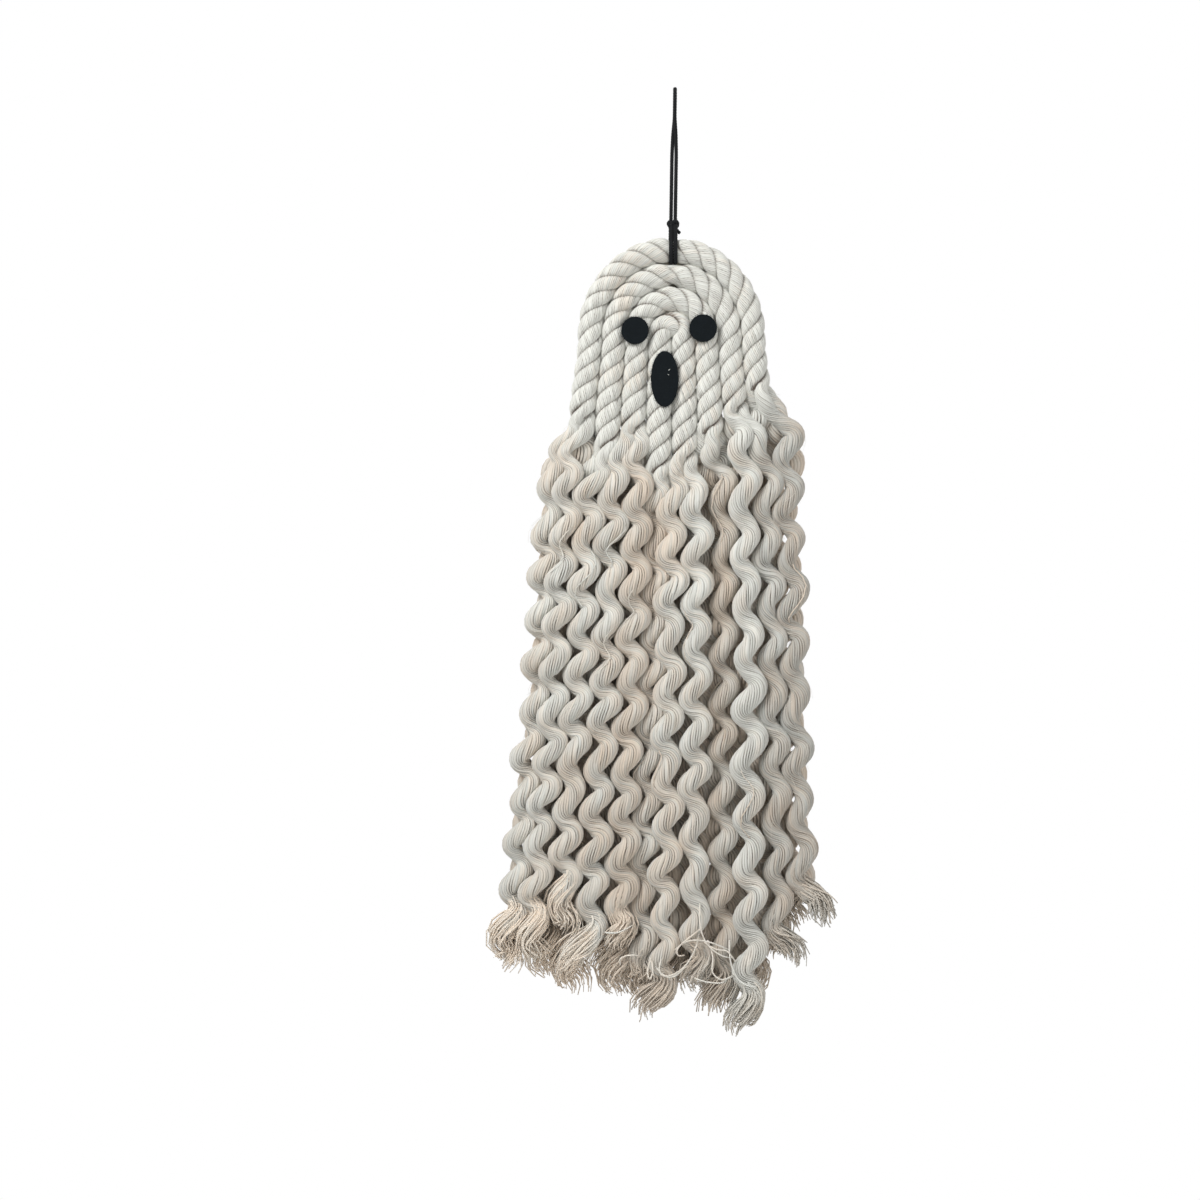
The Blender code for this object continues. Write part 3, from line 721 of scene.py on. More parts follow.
def add_piece(mesh, material, slot, *nodes):
    """Link a finished mesh as a smooth piece of the ghost, under the mesh's own name."""
    mesh.materials.append(material)
    mesh.polygons.foreach_set("use_smooth", np.ones(len(mesh.polygons), bool))
    piece = bpy.data.objects.new(mesh.name, mesh)
    bpy.context.scene.collection.objects.link(piece)
    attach(piece, BODY)
    return mark_slot(piece, slot, *nodes)


def fill_mesh(name, points, loops, sizes, around, along, values):
    """Mesh from its points and faces, with a map of place around and along, and named values."""
    mesh = bpy.data.meshes.new(name)
    mesh.vertices.add(len(points))
    mesh.vertices.foreach_set("co", points.astype(np.float32).ravel())
    mesh.loops.add(len(loops))
    mesh.loops.foreach_set("vertex_index", loops.astype(np.int32))
    mesh.polygons.add(len(sizes))
    starts = np.concatenate(([0], np.cumsum(sizes)[:-1]))
    mesh.polygons.foreach_set("loop_start", starts.astype(np.int32))
    mesh.polygons.foreach_set("loop_total", sizes.astype(np.int32))
    mesh.update(calc_edges=True)
    mesh.validate()
    uv_map = mesh.uv_layers.new(name="around_and_along")
    uv_map.data.foreach_set("uv", np.column_stack((around, along)).astype(np.float32).ravel())
    for key, numbers in values.items():
        attribute = mesh.attributes.new(key, "FLOAT", "POINT")
        attribute.data.foreach_set("value", numbers.astype(np.float32).ravel())
    return mesh


def tube_mesh(name, rings, run, values):
    """Closed tube through rings of points, which go round against the clock seen from its end."""
    count, sides = rings.shape[:2]
    points = np.vstack((rings.reshape(-1, 3), rings[0].mean(axis=0), rings[-1].mean(axis=0)))
    row, side = np.meshgrid(np.arange(count - 1), np.arange(sides), indexing="ij")
    row, side = row.ravel(), side.ravel()
    after = (side + 1) % sides
    quads = np.column_stack((row * sides + side, row * sides + after,
                             (row + 1) * sides + after, (row + 1) * sides + side))
    sides_row = np.arange(sides)
    after_row = (sides_row + 1) % sides
    last = (count - 1) * sides
    first_cap = np.column_stack((np.full(sides, count * sides), after_row, sides_row))
    last_cap = np.column_stack((np.full(sides, count * sides + 1), last + sides_row, last + after_row))
    loops = np.concatenate((quads.ravel(), first_cap.ravel(), last_cap.ravel()))
    sizes = np.concatenate((np.full(len(quads), 4), np.full(2 * sides, 3)))
    around = np.concatenate((
        np.column_stack((side, side + 1, side + 1, side)).ravel(),
        np.column_stack((sides_row + 0.5, sides_row + 1, sides_row)).ravel(),
        np.column_stack((sides_row + 0.5, sides_row, sides_row + 1)).ravel())) / sides
    along = np.concatenate((
        np.column_stack((run[row], run[row], run[row + 1], run[row + 1])).ravel(),
        np.full(3 * sides, run[0]), np.full(3 * sides, run[-1])))
    full = {key: np.concatenate((numbers.ravel(), [numbers[0].mean(), numbers[-1].mean()]))
            for key, numbers in values.items()}
    return fill_mesh(name, points, loops, sizes, around, along, full)


def bundle_mesh(name, lines, radii, sides, tones, warmth):
    """One mesh of many thin closed tubes with the same number of points."""
    tubes, count = lines.shape[:2]
    tangents = unit_rows(np.gradient(lines, axis=1))
    normals = unit_rows(np.cross(tangents, np.array((0.35, 0.9, 0.25))))
    binormals = np.cross(tangents, normals)
    spokes = spokes_at(normals[:, :, None, :], binormals[:, :, None, :],
                       TURN * np.arange(sides) / sides)
    rings = lines[:, :, None, :] + spokes * radii[:, :, None, None]
    tube, row, side = (values.ravel() for values in np.meshgrid(
        np.arange(tubes), np.arange(count - 1), np.arange(sides), indexing="ij"))
    after = (side + 1) % sides
    base = (tube * count + row) * sides
    quads = np.column_stack((base + side, base + after, base + sides + after, base + sides + side))
    first = np.arange(tubes)[:, None] * count * sides
    caps = np.concatenate((first + np.arange(sides)[::-1], first + (count - 1) * sides + np.arange(sides)))
    loops = np.concatenate((quads.ravel(), caps.ravel()))
    sizes = np.concatenate((np.full(len(quads), 4), np.full(2 * tubes, sides)))
    around = np.concatenate((np.column_stack((side, side + 1, side + 1, side)).ravel() / sides,
                             np.zeros(caps.size)))
    along = np.concatenate((np.column_stack((row, row, row + 1, row + 1)).ravel() * 0.001,
                            np.zeros(caps.size)))
    size = tubes * count * sides
    values = {
        "groove": np.zeros(size),
        "tone": np.repeat(tones, count * sides),
        "warmth": np.repeat(warmth, count * sides),
    }
    return fill_mesh(name, rings.reshape(-1, 3), loops, sizes, around, along, values)


def yarn_phase(strand, rope):
    """Angle of the yarns round their strand, which twist against the rope's lay."""
    run = strand["run"]
    index = np.arange(len(run))
    outside = np.maximum(strand["first"] - index, index - strand["last"]) * rope.ring_step
    loosened = smooth_step(outside / FLUFF_DROP)
    rate = LAID_YARN_TURN + (FREE_YARN_TURN - LAID_YARN_TURN) * loosened
    return np.concatenate(([0.0], np.cumsum(np.diff(run) * (rate[1:] + rate[:-1]) / 2.0))), loosened


def lobes(rng, count, sides, step, waves):
    """Smooth random swelling round and along a strand, from -1 to 1."""
    knots = slow_noise(rng, count, step, waves)
    places = np.arange(sides) * waves / sides
    low = places.astype(int)
    share = smooth_step(places - low)[None, :]
    return knots[:, low] * (1.0 - share) + knots[:, (low + 1) % waves] * share


def strand_rings(strand, rope, seed):
    """Rings of points round a strand's whole line, ridged by its yarns, and their values: painted shade in
    the grooves, and tone.
    """
    rng = np.random.default_rng(seed)
    count, yarns = len(strand["points"]), rope.yarns
    phase, loosened = yarn_phase(strand, rope)
    loose = loosened[:, None]
    places = (np.arange(yarns)[:, None] + np.array(YARN_PLACES)).ravel() / yarns
    angles = phase[:, None] + TURN * places[None, :]
    spokes = spokes_at(strand["normals"][:, None, :], strand["binormals"][:, None, :], angles)
    proud = slow_noise(rng, count, 11.0, yarns) * (0.02 + 0.04 * loose)
    parted = smooth_step((slow_noise(rng, count, 9.0, yarns) - 0.15) / 0.5) * loose
    plain = (0.06 + 0.13 * rng.uniform(0.0, 1.0, yarns)) * (0.8 + 0.7 * slow_noise(rng, count, 9.0, yarns))
    groove = np.maximum(plain * (1.6 - 0.4 * loose) + 0.20 * parted, 0.02)
    beside = (proud + np.roll(proud, 1, axis=1)) / 2.0 - groove
    reach = np.stack((beside, proud, proud), axis=2).reshape(count, -1)
    # Painted shade in the grooves between yarns: full in the deepest grooves, a little on their shoulders
    dark = np.clip(groove / DEEP_GROOVE, 0.0, 1.0)
    depth = np.stack((dark, dark * SHOULDER_SHADE, dark * SHOULDER_SHADE), axis=2).reshape(count, -1)
    bend = np.gradient(strand["tangents"], axis=0) / np.gradient(strand["run"])[:, None]
    bulge = np.einsum("ij,ikj->ik", -bend, spokes) * strand["fitted"][:, None] * BEND_BULGE
    swell = np.clip(bulge, *BULGE_LIMITS) + LOBE_REACH * lobes(rng, count, len(places), LOBE_STEP, LOBES)
    radii = strand["fitted"][:, None] * (1.0 + reach + swell * loose)
    rings = strand["points"][:, None, :] + spokes * radii[..., None]
    laid = slice(strand["first"], strand["last"] + 1)
    rings[laid] = laid_rings(strand, rope, rings[laid], spokes[laid], reach[laid])
    tone = np.repeat(rng.uniform(0.0, 1.0, yarns), len(YARN_PLACES))[None, :] * np.ones((count, 1))
    return rings, {"groove": depth, "tone": tone}


def laid_rings(strand, rope, round_rings, spokes, reach):
    """Rings of a strand pressed into its third of the rope, eased to round ones at both ends."""
    laid = slice(strand["first"], strand["last"] + 1)
    axis, ahead, outer = strand["axis"], strand["ahead"], strand["outer"]
    radial = unit_rows(strand["points"][laid] - axis)
    beside = np.cross(ahead, radial)
    across = unit_rows(np.cross(strand["tangents"][laid], radial))
    helix = rope.helix_share * outer
    slope = ROPE_LAY / np.hypot(ROPE_LAY, TURN * helix)
    half_width = TURN * helix / STRANDS_PER_ROPE * slope / 2.0 * LAID_WIDENING
    up = np.einsum("ikj,ij->ik", spokes, radial)
    side = np.einsum("ikj,ij->ik", spokes, across)
    stretch = (np.abs(up) ** rope.fullness + np.abs(side) ** rope.fullness) ** (-1.0 / rope.fullness)
    up = up * stretch * (outer - helix)[:, None] * (1.0 + reach)
    side = side * stretch * half_width[:, None] * (1.0 + reach)
    forward = side * np.einsum("ij,ij->i", across, ahead)[:, None]
    angle = side * np.einsum("ij,ij->i", across, beside)[:, None] / helix[:, None]
    distance = (helix[:, None] + up)[..., None]
    pressed = (axis[:, None, :] + forward[..., None] * ahead[:, None, :]
               + distance * spokes_at(radial[:, None, :], beside[:, None, :], angle))
    index = np.arange(len(axis)) * rope.ring_step
    share = smooth_step(np.minimum(index, index[::-1]) / ROUNDING_RUN)[:, None, None]
    return round_rings * (1.0 - share) + pressed * share


def shade_of(tail):
    """How creamy and how dim a free strand is, the dimming a painted shade: the front ones are paler than
    those behind, whose colour is darkened and warmed as painted shade.
    """
    slot, row, _ = tail
    return BACK_SHADE if row else FRONT_SHADES[slot]


def tapered(rings, centres, shares):
    """Rings drawn in towards their centres."""
    return centres[:, None, :] + (rings - centres[:, None, :]) * shares[:, None, None]


# Materials


def feed(tree, socket, value):
    """Link a socket or set its own value."""
    if isinstance(value, bpy.types.NodeSocket):
        tree.links.new(value, socket)
    elif socket.type == "RGBA":
        socket.default_value = (*value, 1.0)
    else:
        socket.default_value = value


def add_node(tree, kind, inputs, **settings):
    """A shader node with its settings, and with its inputs linked or set."""
    node = tree.nodes.new("ShaderNode" + kind)
    for key, value in settings.items():
        setattr(node, key, value)
    for key, value in inputs.items():
        feed(tree, node.inputs[key], value)
    return node


def mix_colours(tree, factor, first, second, blend="MIX"):
    """Colour mixed from two."""
    inputs = {0: factor, 6: first, 7: second}
    return add_node(tree, "Mix", inputs, data_type="RGBA", blend_type=blend).outputs[2]


def calculate(tree, operation, *values, clamp=False):
    """Result of a Math node."""
    return add_node(tree, "Math", dict(enumerate(values)), operation=operation, use_clamp=clamp).outputs[0]


def read_value(tree, name):
    """A named value that the mesh carries."""
    return add_node(tree, "Attribute", {}, attribute_name=name).outputs["Fac"]


def scaled_noise(tree, coordinates, scale, detail):
    """Noise on coordinates scaled by three numbers."""
    mapping = add_node(tree, "Mapping", {"Vector": coordinates, "Scale": scale})
    inputs = {"Vector": mapping.outputs[0], "Scale": 1.0, "Detail": detail}
    return add_node(tree, "TexNoise", inputs).outputs["Fac"]


def new_material(name, inputs):
    """Material with a Principled shader whose inputs are set, its tree and its shader."""
    material = bpy.data.materials.new(name)
    material.use_nodes = True
    shader = material.node_tree.nodes["Principled BSDF"]
    for key, value in inputs.items():
        feed(material.node_tree, shader.inputs[key], value)
    return material, material.node_tree, shader


def soft_material(name, roughness, sheen, gloss=0.25):
    """Soft material, its tree, its shader and its coordinates."""
    material, tree, shader = new_material(name, {
        "Roughness": roughness, "Specular IOR Level": gloss, "Sheen Weight": sheen,
        "Sheen Roughness": 0.6})
    return material, tree, shader, add_node(tree, "TexCoord", {})


def finish_shader(tree, shader, colour, height, strength, distance):
    """Colour and fine relief of a shader."""
    bump = add_node(tree, "Bump", {"Strength": strength, "Distance": distance, "Height": height})
    feed(tree, shader.inputs["Base Color"], colour)
    feed(tree, shader.inputs["Normal"], bump.outputs["Normal"])


@functools.lru_cache(maxsize=None)
def cotton_material():
    """Soft natural cotton: fibres along the yarns, creamier in places, with a painted brown shade in the
    grooves between yarns and in the creases between strands, and painted dimming in the yarns' tone.
    """
    rope = look("rope")
    material, tree, shader, coordinates = soft_material("natural_cotton_yarn", 0.92, 0.25)
    patches = scaled_noise(tree, coordinates.outputs["Object"], (70.0, 70.0, 45.0), 3.0)
    fibres = scaled_noise(tree, coordinates.outputs["UV"], (95.0, 190.0, 1.0), 3.0)
    groove, tone, warmth = (read_value(tree, name) for name in ("groove", "tone", "warmth"))
    creamy = calculate(tree, "MULTIPLY_ADD", calculate(tree, "SUBTRACT", patches, 0.5), 1.9, warmth)
    creamy = calculate(tree, "MULTIPLY_ADD", calculate(tree, "SUBTRACT", tone, 0.5), TONE_WARMTH, creamy,
                       clamp=True)
    colour = mix_colours(tree, creamy, tuple(rope.cotton), tuple(rope.warm_cotton))
    # Shade of each yarn from its tone, which carries random tone and the painted dimming of strands in shade
    shade = calculate(tree, "MULTIPLY_ADD", tone, 0.14, 0.86)
    grey = add_node(tree, "CombineColor", {0: shade, 1: shade, 2: shade}).outputs[0]
    colour = mix_colours(tree, 1.0, colour, grey, "MULTIPLY")
    # Painted shade: the groove value darkens the colour towards the deep brown in yarn grooves and rope
    # creases
    shadow = calculate(tree, "MULTIPLY", calculate(tree, "POWER", groove, 1.1), 0.95, clamp=True)
    colour = mix_colours(tree, shadow, colour, tuple(rope.painted_groove_shade))
    streak = calculate(tree, "MULTIPLY_ADD", fibres, 0.9, -0.32, clamp=True)
    colour = mix_colours(tree, streak, colour, (0.62, 0.55, 0.46), "MULTIPLY")
    finish_shader(tree, shader, colour, fibres, 0.55, 0.00035)
    return material


@functools.lru_cache(maxsize=None)
def felt_material(name, colour, contrast):
    """Matt pressed felt with short tangled fibres."""
    material, tree, shader, coordinates = soft_material(name, 0.96, 0.05, 0.08)
    place = coordinates.outputs["Object"]
    fine = scaled_noise(tree, place, (2600.0, 2600.0, 2600.0), 4.0)
    broad = scaled_noise(tree, place, (260.0, 260.0, 260.0), 2.0)
    light = tuple(min(value * (1.0 + contrast), 1.0) for value in colour)
    dark = tuple(value * (1.0 - contrast) for value in colour)
    blend = calculate(tree, "ADD", calculate(tree, "MULTIPLY", fine, 0.6),
                      calculate(tree, "MULTIPLY", broad, 0.4))
    finish_shader(tree, shader, mix_colours(tree, blend, dark, light), fine, 0.7, 0.0004)
    return material


@functools.lru_cache(maxsize=None)
def cord_material():
    """Black twisted cord with a faint sheen on its plies."""
    colour = look("cord").black_cord
    material, tree, shader, coordinates = soft_material("black_twisted_cord", 0.80, 0.06, 0.12)
    fibres = scaled_noise(tree, coordinates.outputs["UV"], (9.0, 1600.0, 1.0), 3.0)
    colour = mix_colours(tree, fibres, tuple(value * 0.6 for value in colour),
                         tuple(value * 2.2 for value in colour))
    finish_shader(tree, shader, colour, fibres, 0.5, 0.0001)
    return material


# Pieces


def make_laid_strand(strand, rings, values):
    """The part of a strand that is laid in its rope, its two ends tucked into the free parts."""
    tuck = len(LAID_END_SHARES)
    first, last = strand["first"] - tuck, strand["last"] + 1 + tuck
    shares = np.ones(last - first)
    shares[:tuck] = shares[-tuck:][::-1] = LAID_END_SHARES
    body = tapered(rings[first:last], strand["points"][first:last], shares)
    # Painted shade in the creases where a rope's strands meet, darker deeper inside the rope
    row = np.clip(np.arange(first, last) - strand["first"], 0, len(strand["axis"]) - 1)
    inside = np.linalg.norm(body - strand["axis"][row][:, None, :], axis=2) / strand["outer"][row][:, None]
    crease_shade = smooth_step((CREASE_REACH - inside) / CREASE_EASE)
    part = {key: numbers[first:last] for key, numbers in values.items()}
    part["groove"] = np.maximum(part["groove"], crease_shade * 0.95)
    part["warmth"] = np.full(part["groove"].shape, LAID_WARMTH)
    mesh = tube_mesh(strand["name"] + "_laid", body, strand["run"][first:last], part)
    add_piece(mesh, cotton_material(), "natural_cotton", strand["name"])


def tail_slice(strand, side):
    """Ring numbers of a strand's free part, from the lay to its tip."""
    if side == "left":
        return np.arange(strand["first"] + 2, -1, -1)
    return np.arange(strand["last"] - 2, len(strand["points"]))


def brush_of(tail):
    """The brush of a free strand's tip."""
    slot, row, _ = tail
    return BACK_BRUSH if row else BRUSHES[slot]


def make_tail(strand, side, rings, values):
    """One free strand that hangs from the head."""
    whole = tail_slice(strand, side)
    tail = strand[side]
    brush_length = look("fray").brush_length * brush_of(tail)[-1]
    name = f"{'back' if tail[1] else 'front'}_tail_{tail[0] + 1:02d}"
    line = strand["points"][whole]
    run = run_lengths(line)
    order = whole[run <= run[-1] - CORE_SHORT * brush_length]
    line, run = line[:len(order)], run[:len(order)]
    shares = np.ones(len(order))
    shares[:len(FREE_END_SHARES)] = FREE_END_SHARES
    left = (run[-1] - run) / (CORE_TAPER * brush_length)
    shares *= 0.55 + 0.45 * np.sqrt(np.clip(1.0 - (1.0 - np.clip(left, 0.0, 1.0)) ** 2, 0.0, 1.0))
    body = tapered(rings[order], line, shares)
    part = {key: numbers[order] for key, numbers in values.items()}
    # The strand's dimming, a painted shade, lowers its tone, with warmth added back so that it keeps its
    # creaminess; it eases in below the lay and grows towards the tip
    warmth, dim = shade_of(tail)
    changed = smooth_step(run / SHADE_EASE)[:, None]
    dim = (dim + TIP_DIM * run / run[-1])[:, None] * changed
    warmth = LAID_WARMTH + (warmth - LAID_WARMTH) * changed + TONE_WARMTH * dim
    part["warmth"] = np.broadcast_to(warmth, part["tone"].shape)
    part["tone"] = part["tone"] - dim
    if side == "left":
        body = body[:, ::-1]
        part = {key: numbers[:, ::-1] for key, numbers in part.items()}
    mesh = tube_mesh(name, body, strand["run"][order], part)
    piece = add_piece(mesh, cotton_material(), "natural_cotton", strand["name"])
    fringe = [make_fringe(name + "_fray", strand, whole, tail),
              make_flyaways(name + "_fuzz", strand, whole, tail)]
    if tail[:2] == STRAY_TAIL:
        fringe.append(make_stray_yarns())


def make_flyaways(name, strand, order, tail):
    """Fine fibres that stand off a free strand."""
    slot, row, _ = tail
    rng = np.random.default_rng(FLYAWAY_SEED + 50 * row + slot)
    count = look("fray").flyaways
    start = rng.integers(0, len(order) - FLYAWAY_RINGS[1] - 1, count)
    reach = rng.integers(*FLYAWAY_RINGS, count)
    ease = np.linspace(0.0, 1.0, FLYAWAY_POINTS)
    places = start[:, None] + reach[:, None] * ease
    low = places.astype(int)
    share = (places - low)[..., None]
    line = strand["points"][order]
    centre = line[low] * (1.0 - share) + line[np.minimum(low + 1, len(line) - 1)] * share
    angles = rng.uniform(0.0, TURN, count)[:, None] + rng.uniform(-0.5, 0.5, count)[:, None] * ease
    spokes = spokes_at(strand["normals"][order][low], strand["binormals"][order][low], angles)
    lift = 1.0 + rng.uniform(0.10, 0.55, count)[:, None] * ease ** 1.5
    radius = strand["fitted"][order][low] * lift
    widths = np.full(places.shape, FLYAWAY_RADIUS) * (1.0 - 0.5 * ease)
    mesh = bundle_mesh(name, centre + radius[..., None] * spokes, widths, 3, rng.uniform(0.0, 1.0, count),
                       np.full(count, shade_of(tail)[0] * 0.6))
    return add_piece(mesh, cotton_material(), "natural_cotton")


def make_fringe(name, strand, order, tail):
    """The loose yarns at a strand's tip, and a few that stand off its length."""
    fray = look("fray")
    slot, row, _ = tail
    rng = np.random.default_rng(FRINGE_SEED + 50 * row + slot)
    line, normals, binormals, radii = (
        strand[key][order] for key in ("points", "normals", "binormals", "fitted"))
    run = run_lengths(line)
    warmth, dim = shade_of(tail)

    def on_strand(places, angles, reach):
        """Points at places along the strand, at angles round it and a reach of its radius."""
        radius = np.interp(places, run, radii) * reach
        spokes = spokes_at(read_rows(places, run, normals), read_rows(places, run, binormals), angles)
        return read_rows(places, run, line) + radius[:, None] * spokes

    lines, widths, tones = [], [], []
    ease = np.linspace(0.0, 1.0, BRUSH_POINTS)
    fan, lean, curl, sway, scale = brush_of(tail)
    brush_length = fray.brush_length * scale
    # Painted shade: the brushes grow dimmer from the fourth strand to the seventh and stay so beyond, with
    # warmth added back
    shaded = BRUSH_SHADE * float(smooth_step((slot - 3) / 3))
    for _ in range(fray.brush_yarns):
        angle = rng.uniform(0.0, TURN)
        fill = math.sqrt(rng.uniform(0.01, 1.0))
        start = run[-1] - brush_length * rng.uniform(0.70, 1.05)
        finish = run[-1] + fray.brush_length * (rng.uniform(-0.25, 0.14) - 0.12 * fill)
        places = start + (finish - start) * ease
        beyond = np.clip(places - run[-1], 0.0, None)
        twist = rng.uniform(-0.8, 0.2) * ease
        opened = (fan - 0.92) * rng.uniform(0.6, 1.0) * ease ** 1.3
        flare = fill * (0.92 + opened * (1.0 - 0.62 * curl * ease ** 4))
        yarn = on_strand(np.minimum(places, run[-1]), angle + twist, flare)
        yarn[:, 2] -= beyond
        yarn[:, 0] += lean * fray.brush_length * ease ** 1.8
        drift = slow_noise(rng, len(ease), 4.5, 3) * BRUSH_STRAY * (ease ** 1.6)[:, None]
        lines.append(yarn + drift * sway)
        widths.append(fray.yarn_radius * rng.uniform(*BRUSH_WIDTHS) * (1.0 - 0.5 * ease ** 3))
        tones.append(rng.uniform(*BRUSH_TONES) - 0.4 * dim - shaded)
    for _ in range(STANDING_YARNS):
        length = rng.uniform(0.018, 0.036)
        start = rng.uniform(0.02, max(run[-1] - 0.06, 0.03))
        places = start + length * ease
        angles = rng.uniform(0.0, TURN) - 0.02 * (places - start) * 1000.0
        arch = 1.0 + rng.uniform(0.10, 0.35) * np.sin(HALF_TURN * ease)
        lines.append(on_strand(places, angles, arch))
        widths.append(np.full(len(ease), STANDING_YARN_RADIUS))
        tones.append(rng.uniform(0.0, 1.0))
    mesh = bundle_mesh(name, np.array(lines), np.array(widths), 4, np.array(tones),
                       np.full(len(lines), warmth + BRUSH_WARMTH + TONE_WARMTH * shaded))
    return add_piece(mesh, cotton_material(), "natural_cotton")


def make_stray_yarns():
    """Loose yarns in curves across the front of the hem."""
    ease = np.linspace(0.0, 1.0, STRAY_POINTS)
    lines = []
    for corners in STRAY_YARNS:
        corners = np.array(corners)
        places = np.linspace(0.0, 1.0, len(corners))
        flat = read_rows(ease, places, corners)
        for _ in range(4):
            flat[1:-1] = (flat[:-2] + 2.0 * flat[1:-1] + flat[2:]) / 4.0
        depth = STRAY_DEPTH + STRAY_BOW * (2.0 * ease - 1.0) ** 4
        lines.append(columns(flat[:, 0], depth, flat[:, 1]))
    count = len(lines)
    mesh = bundle_mesh("stray_yarns", np.array(lines), np.full((count, len(ease)), STRAY_RADIUS), 4,
                       np.linspace(0.8, 1.6, count), np.full(count, 0.15))
    return add_piece(mesh, cotton_material(), "natural_cotton")


class GHOST_OT_ropes(bpy.types.Operator):
    """Make the head's ropes and the free strands that hang below it"""

    bl_idname = "ghost.ropes"
    bl_label = "Ropes and strands"

    def execute(self, context):
        rope = look("rope")
        for number, strand in enumerate(strand_plans()):
            rings, values = strand_rings(strand, rope, YARN_SEED + number)
            make_laid_strand(strand, rings, values)
            for side in ("left", "right"):
                make_tail(strand, side, rings, values)
        return {"FINISHED"}


def select_only(piece):
    """Deselect all and select one piece."""
    bpy.ops.object.select_all(action="DESELECT")
    piece.select_set(True)
    bpy.context.view_layer.objects.active = piece


def apply_modifier(piece, name, kind, **settings):
    """Add a modifier to a piece and apply it."""
    modifier = piece.modifiers.new(name, kind)
    for key, value in settings.items():
        setattr(modifier, key, value)
    bpy.ops.object.modifier_apply(modifier=modifier.name)


def finish_felt(piece, voxel, relief, material, slot, node):
    """Round a felt piece's cut edge, roughen its faces, and hide the CAD node it stands for."""
    select_only(piece)
    bpy.ops.object.transform_apply(location=True, rotation=True, scale=True)
    apply_modifier(piece, "grain", "REMESH", mode="VOXEL", voxel_size=voxel)
    apply_modifier(piece, "soft_edge", "SMOOTH", factor=0.5, iterations=3)
    tangle = bpy.data.textures.new(piece.name + "_tangle", "CLOUDS")
    tangle.noise_scale = TANGLE_SIZE
    apply_modifier(piece, "tangle", "DISPLACE", texture=tangle, strength=relief, mid_level=0.5)
    bpy.ops.object.shade_smooth()
    piece.data.materials.clear()
    piece.data.materials.append(material)
    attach(piece, BODY)
    mark_slot(piece, slot, node)


def felt_fibres(name, centre, size, material, count, seed):
    """Short fibres that stand off a felt piece's edge."""
    rng = np.random.default_rng(seed)
    angles = rng.uniform(0.0, TURN, count)
    depth = centre[1] + rng.uniform(-0.5, 0.3, count) * FELT_THICKNESS
    rim = columns(centre[0] + size[0] / 2.0 * np.cos(angles), depth,
                  centre[2] + size[1] / 2.0 * np.sin(angles))
    outward = unit_rows(columns(np.cos(angles) / size[0], 0.0, np.sin(angles) / size[1]))
    along = np.cross(outward, DEPTH_AXIS)
    lean = rng.uniform(-1.0, 1.0, (count, 1))
    length = rng.uniform(0.0003, 0.0009, (count, 1))
    ease = np.linspace(0.0, 1.0, 5)
    lines = np.stack([rim - outward * 0.0003 + outward * length * share
                      + along * lean * length * share ** 2 - DEPTH_AXIS * length * 0.4 * share ** 2
                      for share in ease], axis=1)
    radii = np.full((count, len(ease)), FELT_FIBRE_RADIUS)
    mesh = bundle_mesh(name, lines, radii, 3, rng.uniform(0.0, 1.0, count), np.zeros(count))
    return add_piece(mesh, material, "black_felt")


class GHOST_OT_face(bpy.types.Operator):
    """Make the two felt eyes and the felt mouth on the front of the head"""

    bl_idname = "ghost.face"
    bl_label = "Felt face"

    def execute(self, context):
        felt = look("felt")
        material = felt_material("black_pressed_felt", tuple(felt.black_felt), 0.45)
        depth = -ROPE_RADIUS - SEAT_GAP - FELT_THICKNESS / 2.0
        for number, (name, (across, height, width, tall)) in enumerate(FACE_PLACES.items()):
            centre = (HEAD_OFFSET_X + across, depth, ARCH_CENTRE_Z + height)
            bpy.ops.object.select_all(action="DESELECT")
            bpy.ops.mesh.primitive_cylinder_add(
                vertices=ROUND_SIDES, radius=0.5, depth=FELT_THICKNESS, location=centre,
                rotation=(TURN / 4.0, 0.0, 0.0))
            piece = bpy.context.active_object
            piece.name = name + "_felt"
            piece.scale = (width, tall, 1.0)
            finish_felt(piece, felt.voxel, FACE_RELIEF, material, "black_felt", name)
            fibres = felt_fibres(name + "_felt_fibres", centre, (width, tall), material,
                                 EDGE_FIBRES, FELT_SEED + number)
        self.make_lint()
        return {"FINISHED"}

    def make_lint(self):
        """Two specks of cotton lint on the mouth."""
        across, height = FACE_PLACES["mouth"][:2]
        front = -ROPE_RADIUS - SEAT_GAP - FELT_THICKNESS - 0.00016
        centre = np.array((HEAD_OFFSET_X + across, front, ARCH_CENTRE_Z + height))
        ease = np.linspace(-1.0, 1.0, 6)[:, None]
        lines = np.array([
            centre + (0.0018, 0.0, 0.0036) + ease * (0.00030, 0.0, 0.00022),
            centre + (0.0015, 0.0, 0.0016) + ease * (0.00022, 0.0, -0.00016) + (0.0, 0.0, 0.0001) * ease ** 2,
        ])
        mesh = bundle_mesh("mouth_lint", lines, np.full(lines.shape[:2], LINT_RADIUS), 6,
                           np.array((0.2, 0.5)), np.zeros(2))
        add_piece(mesh, cotton_material(), "natural_cotton")


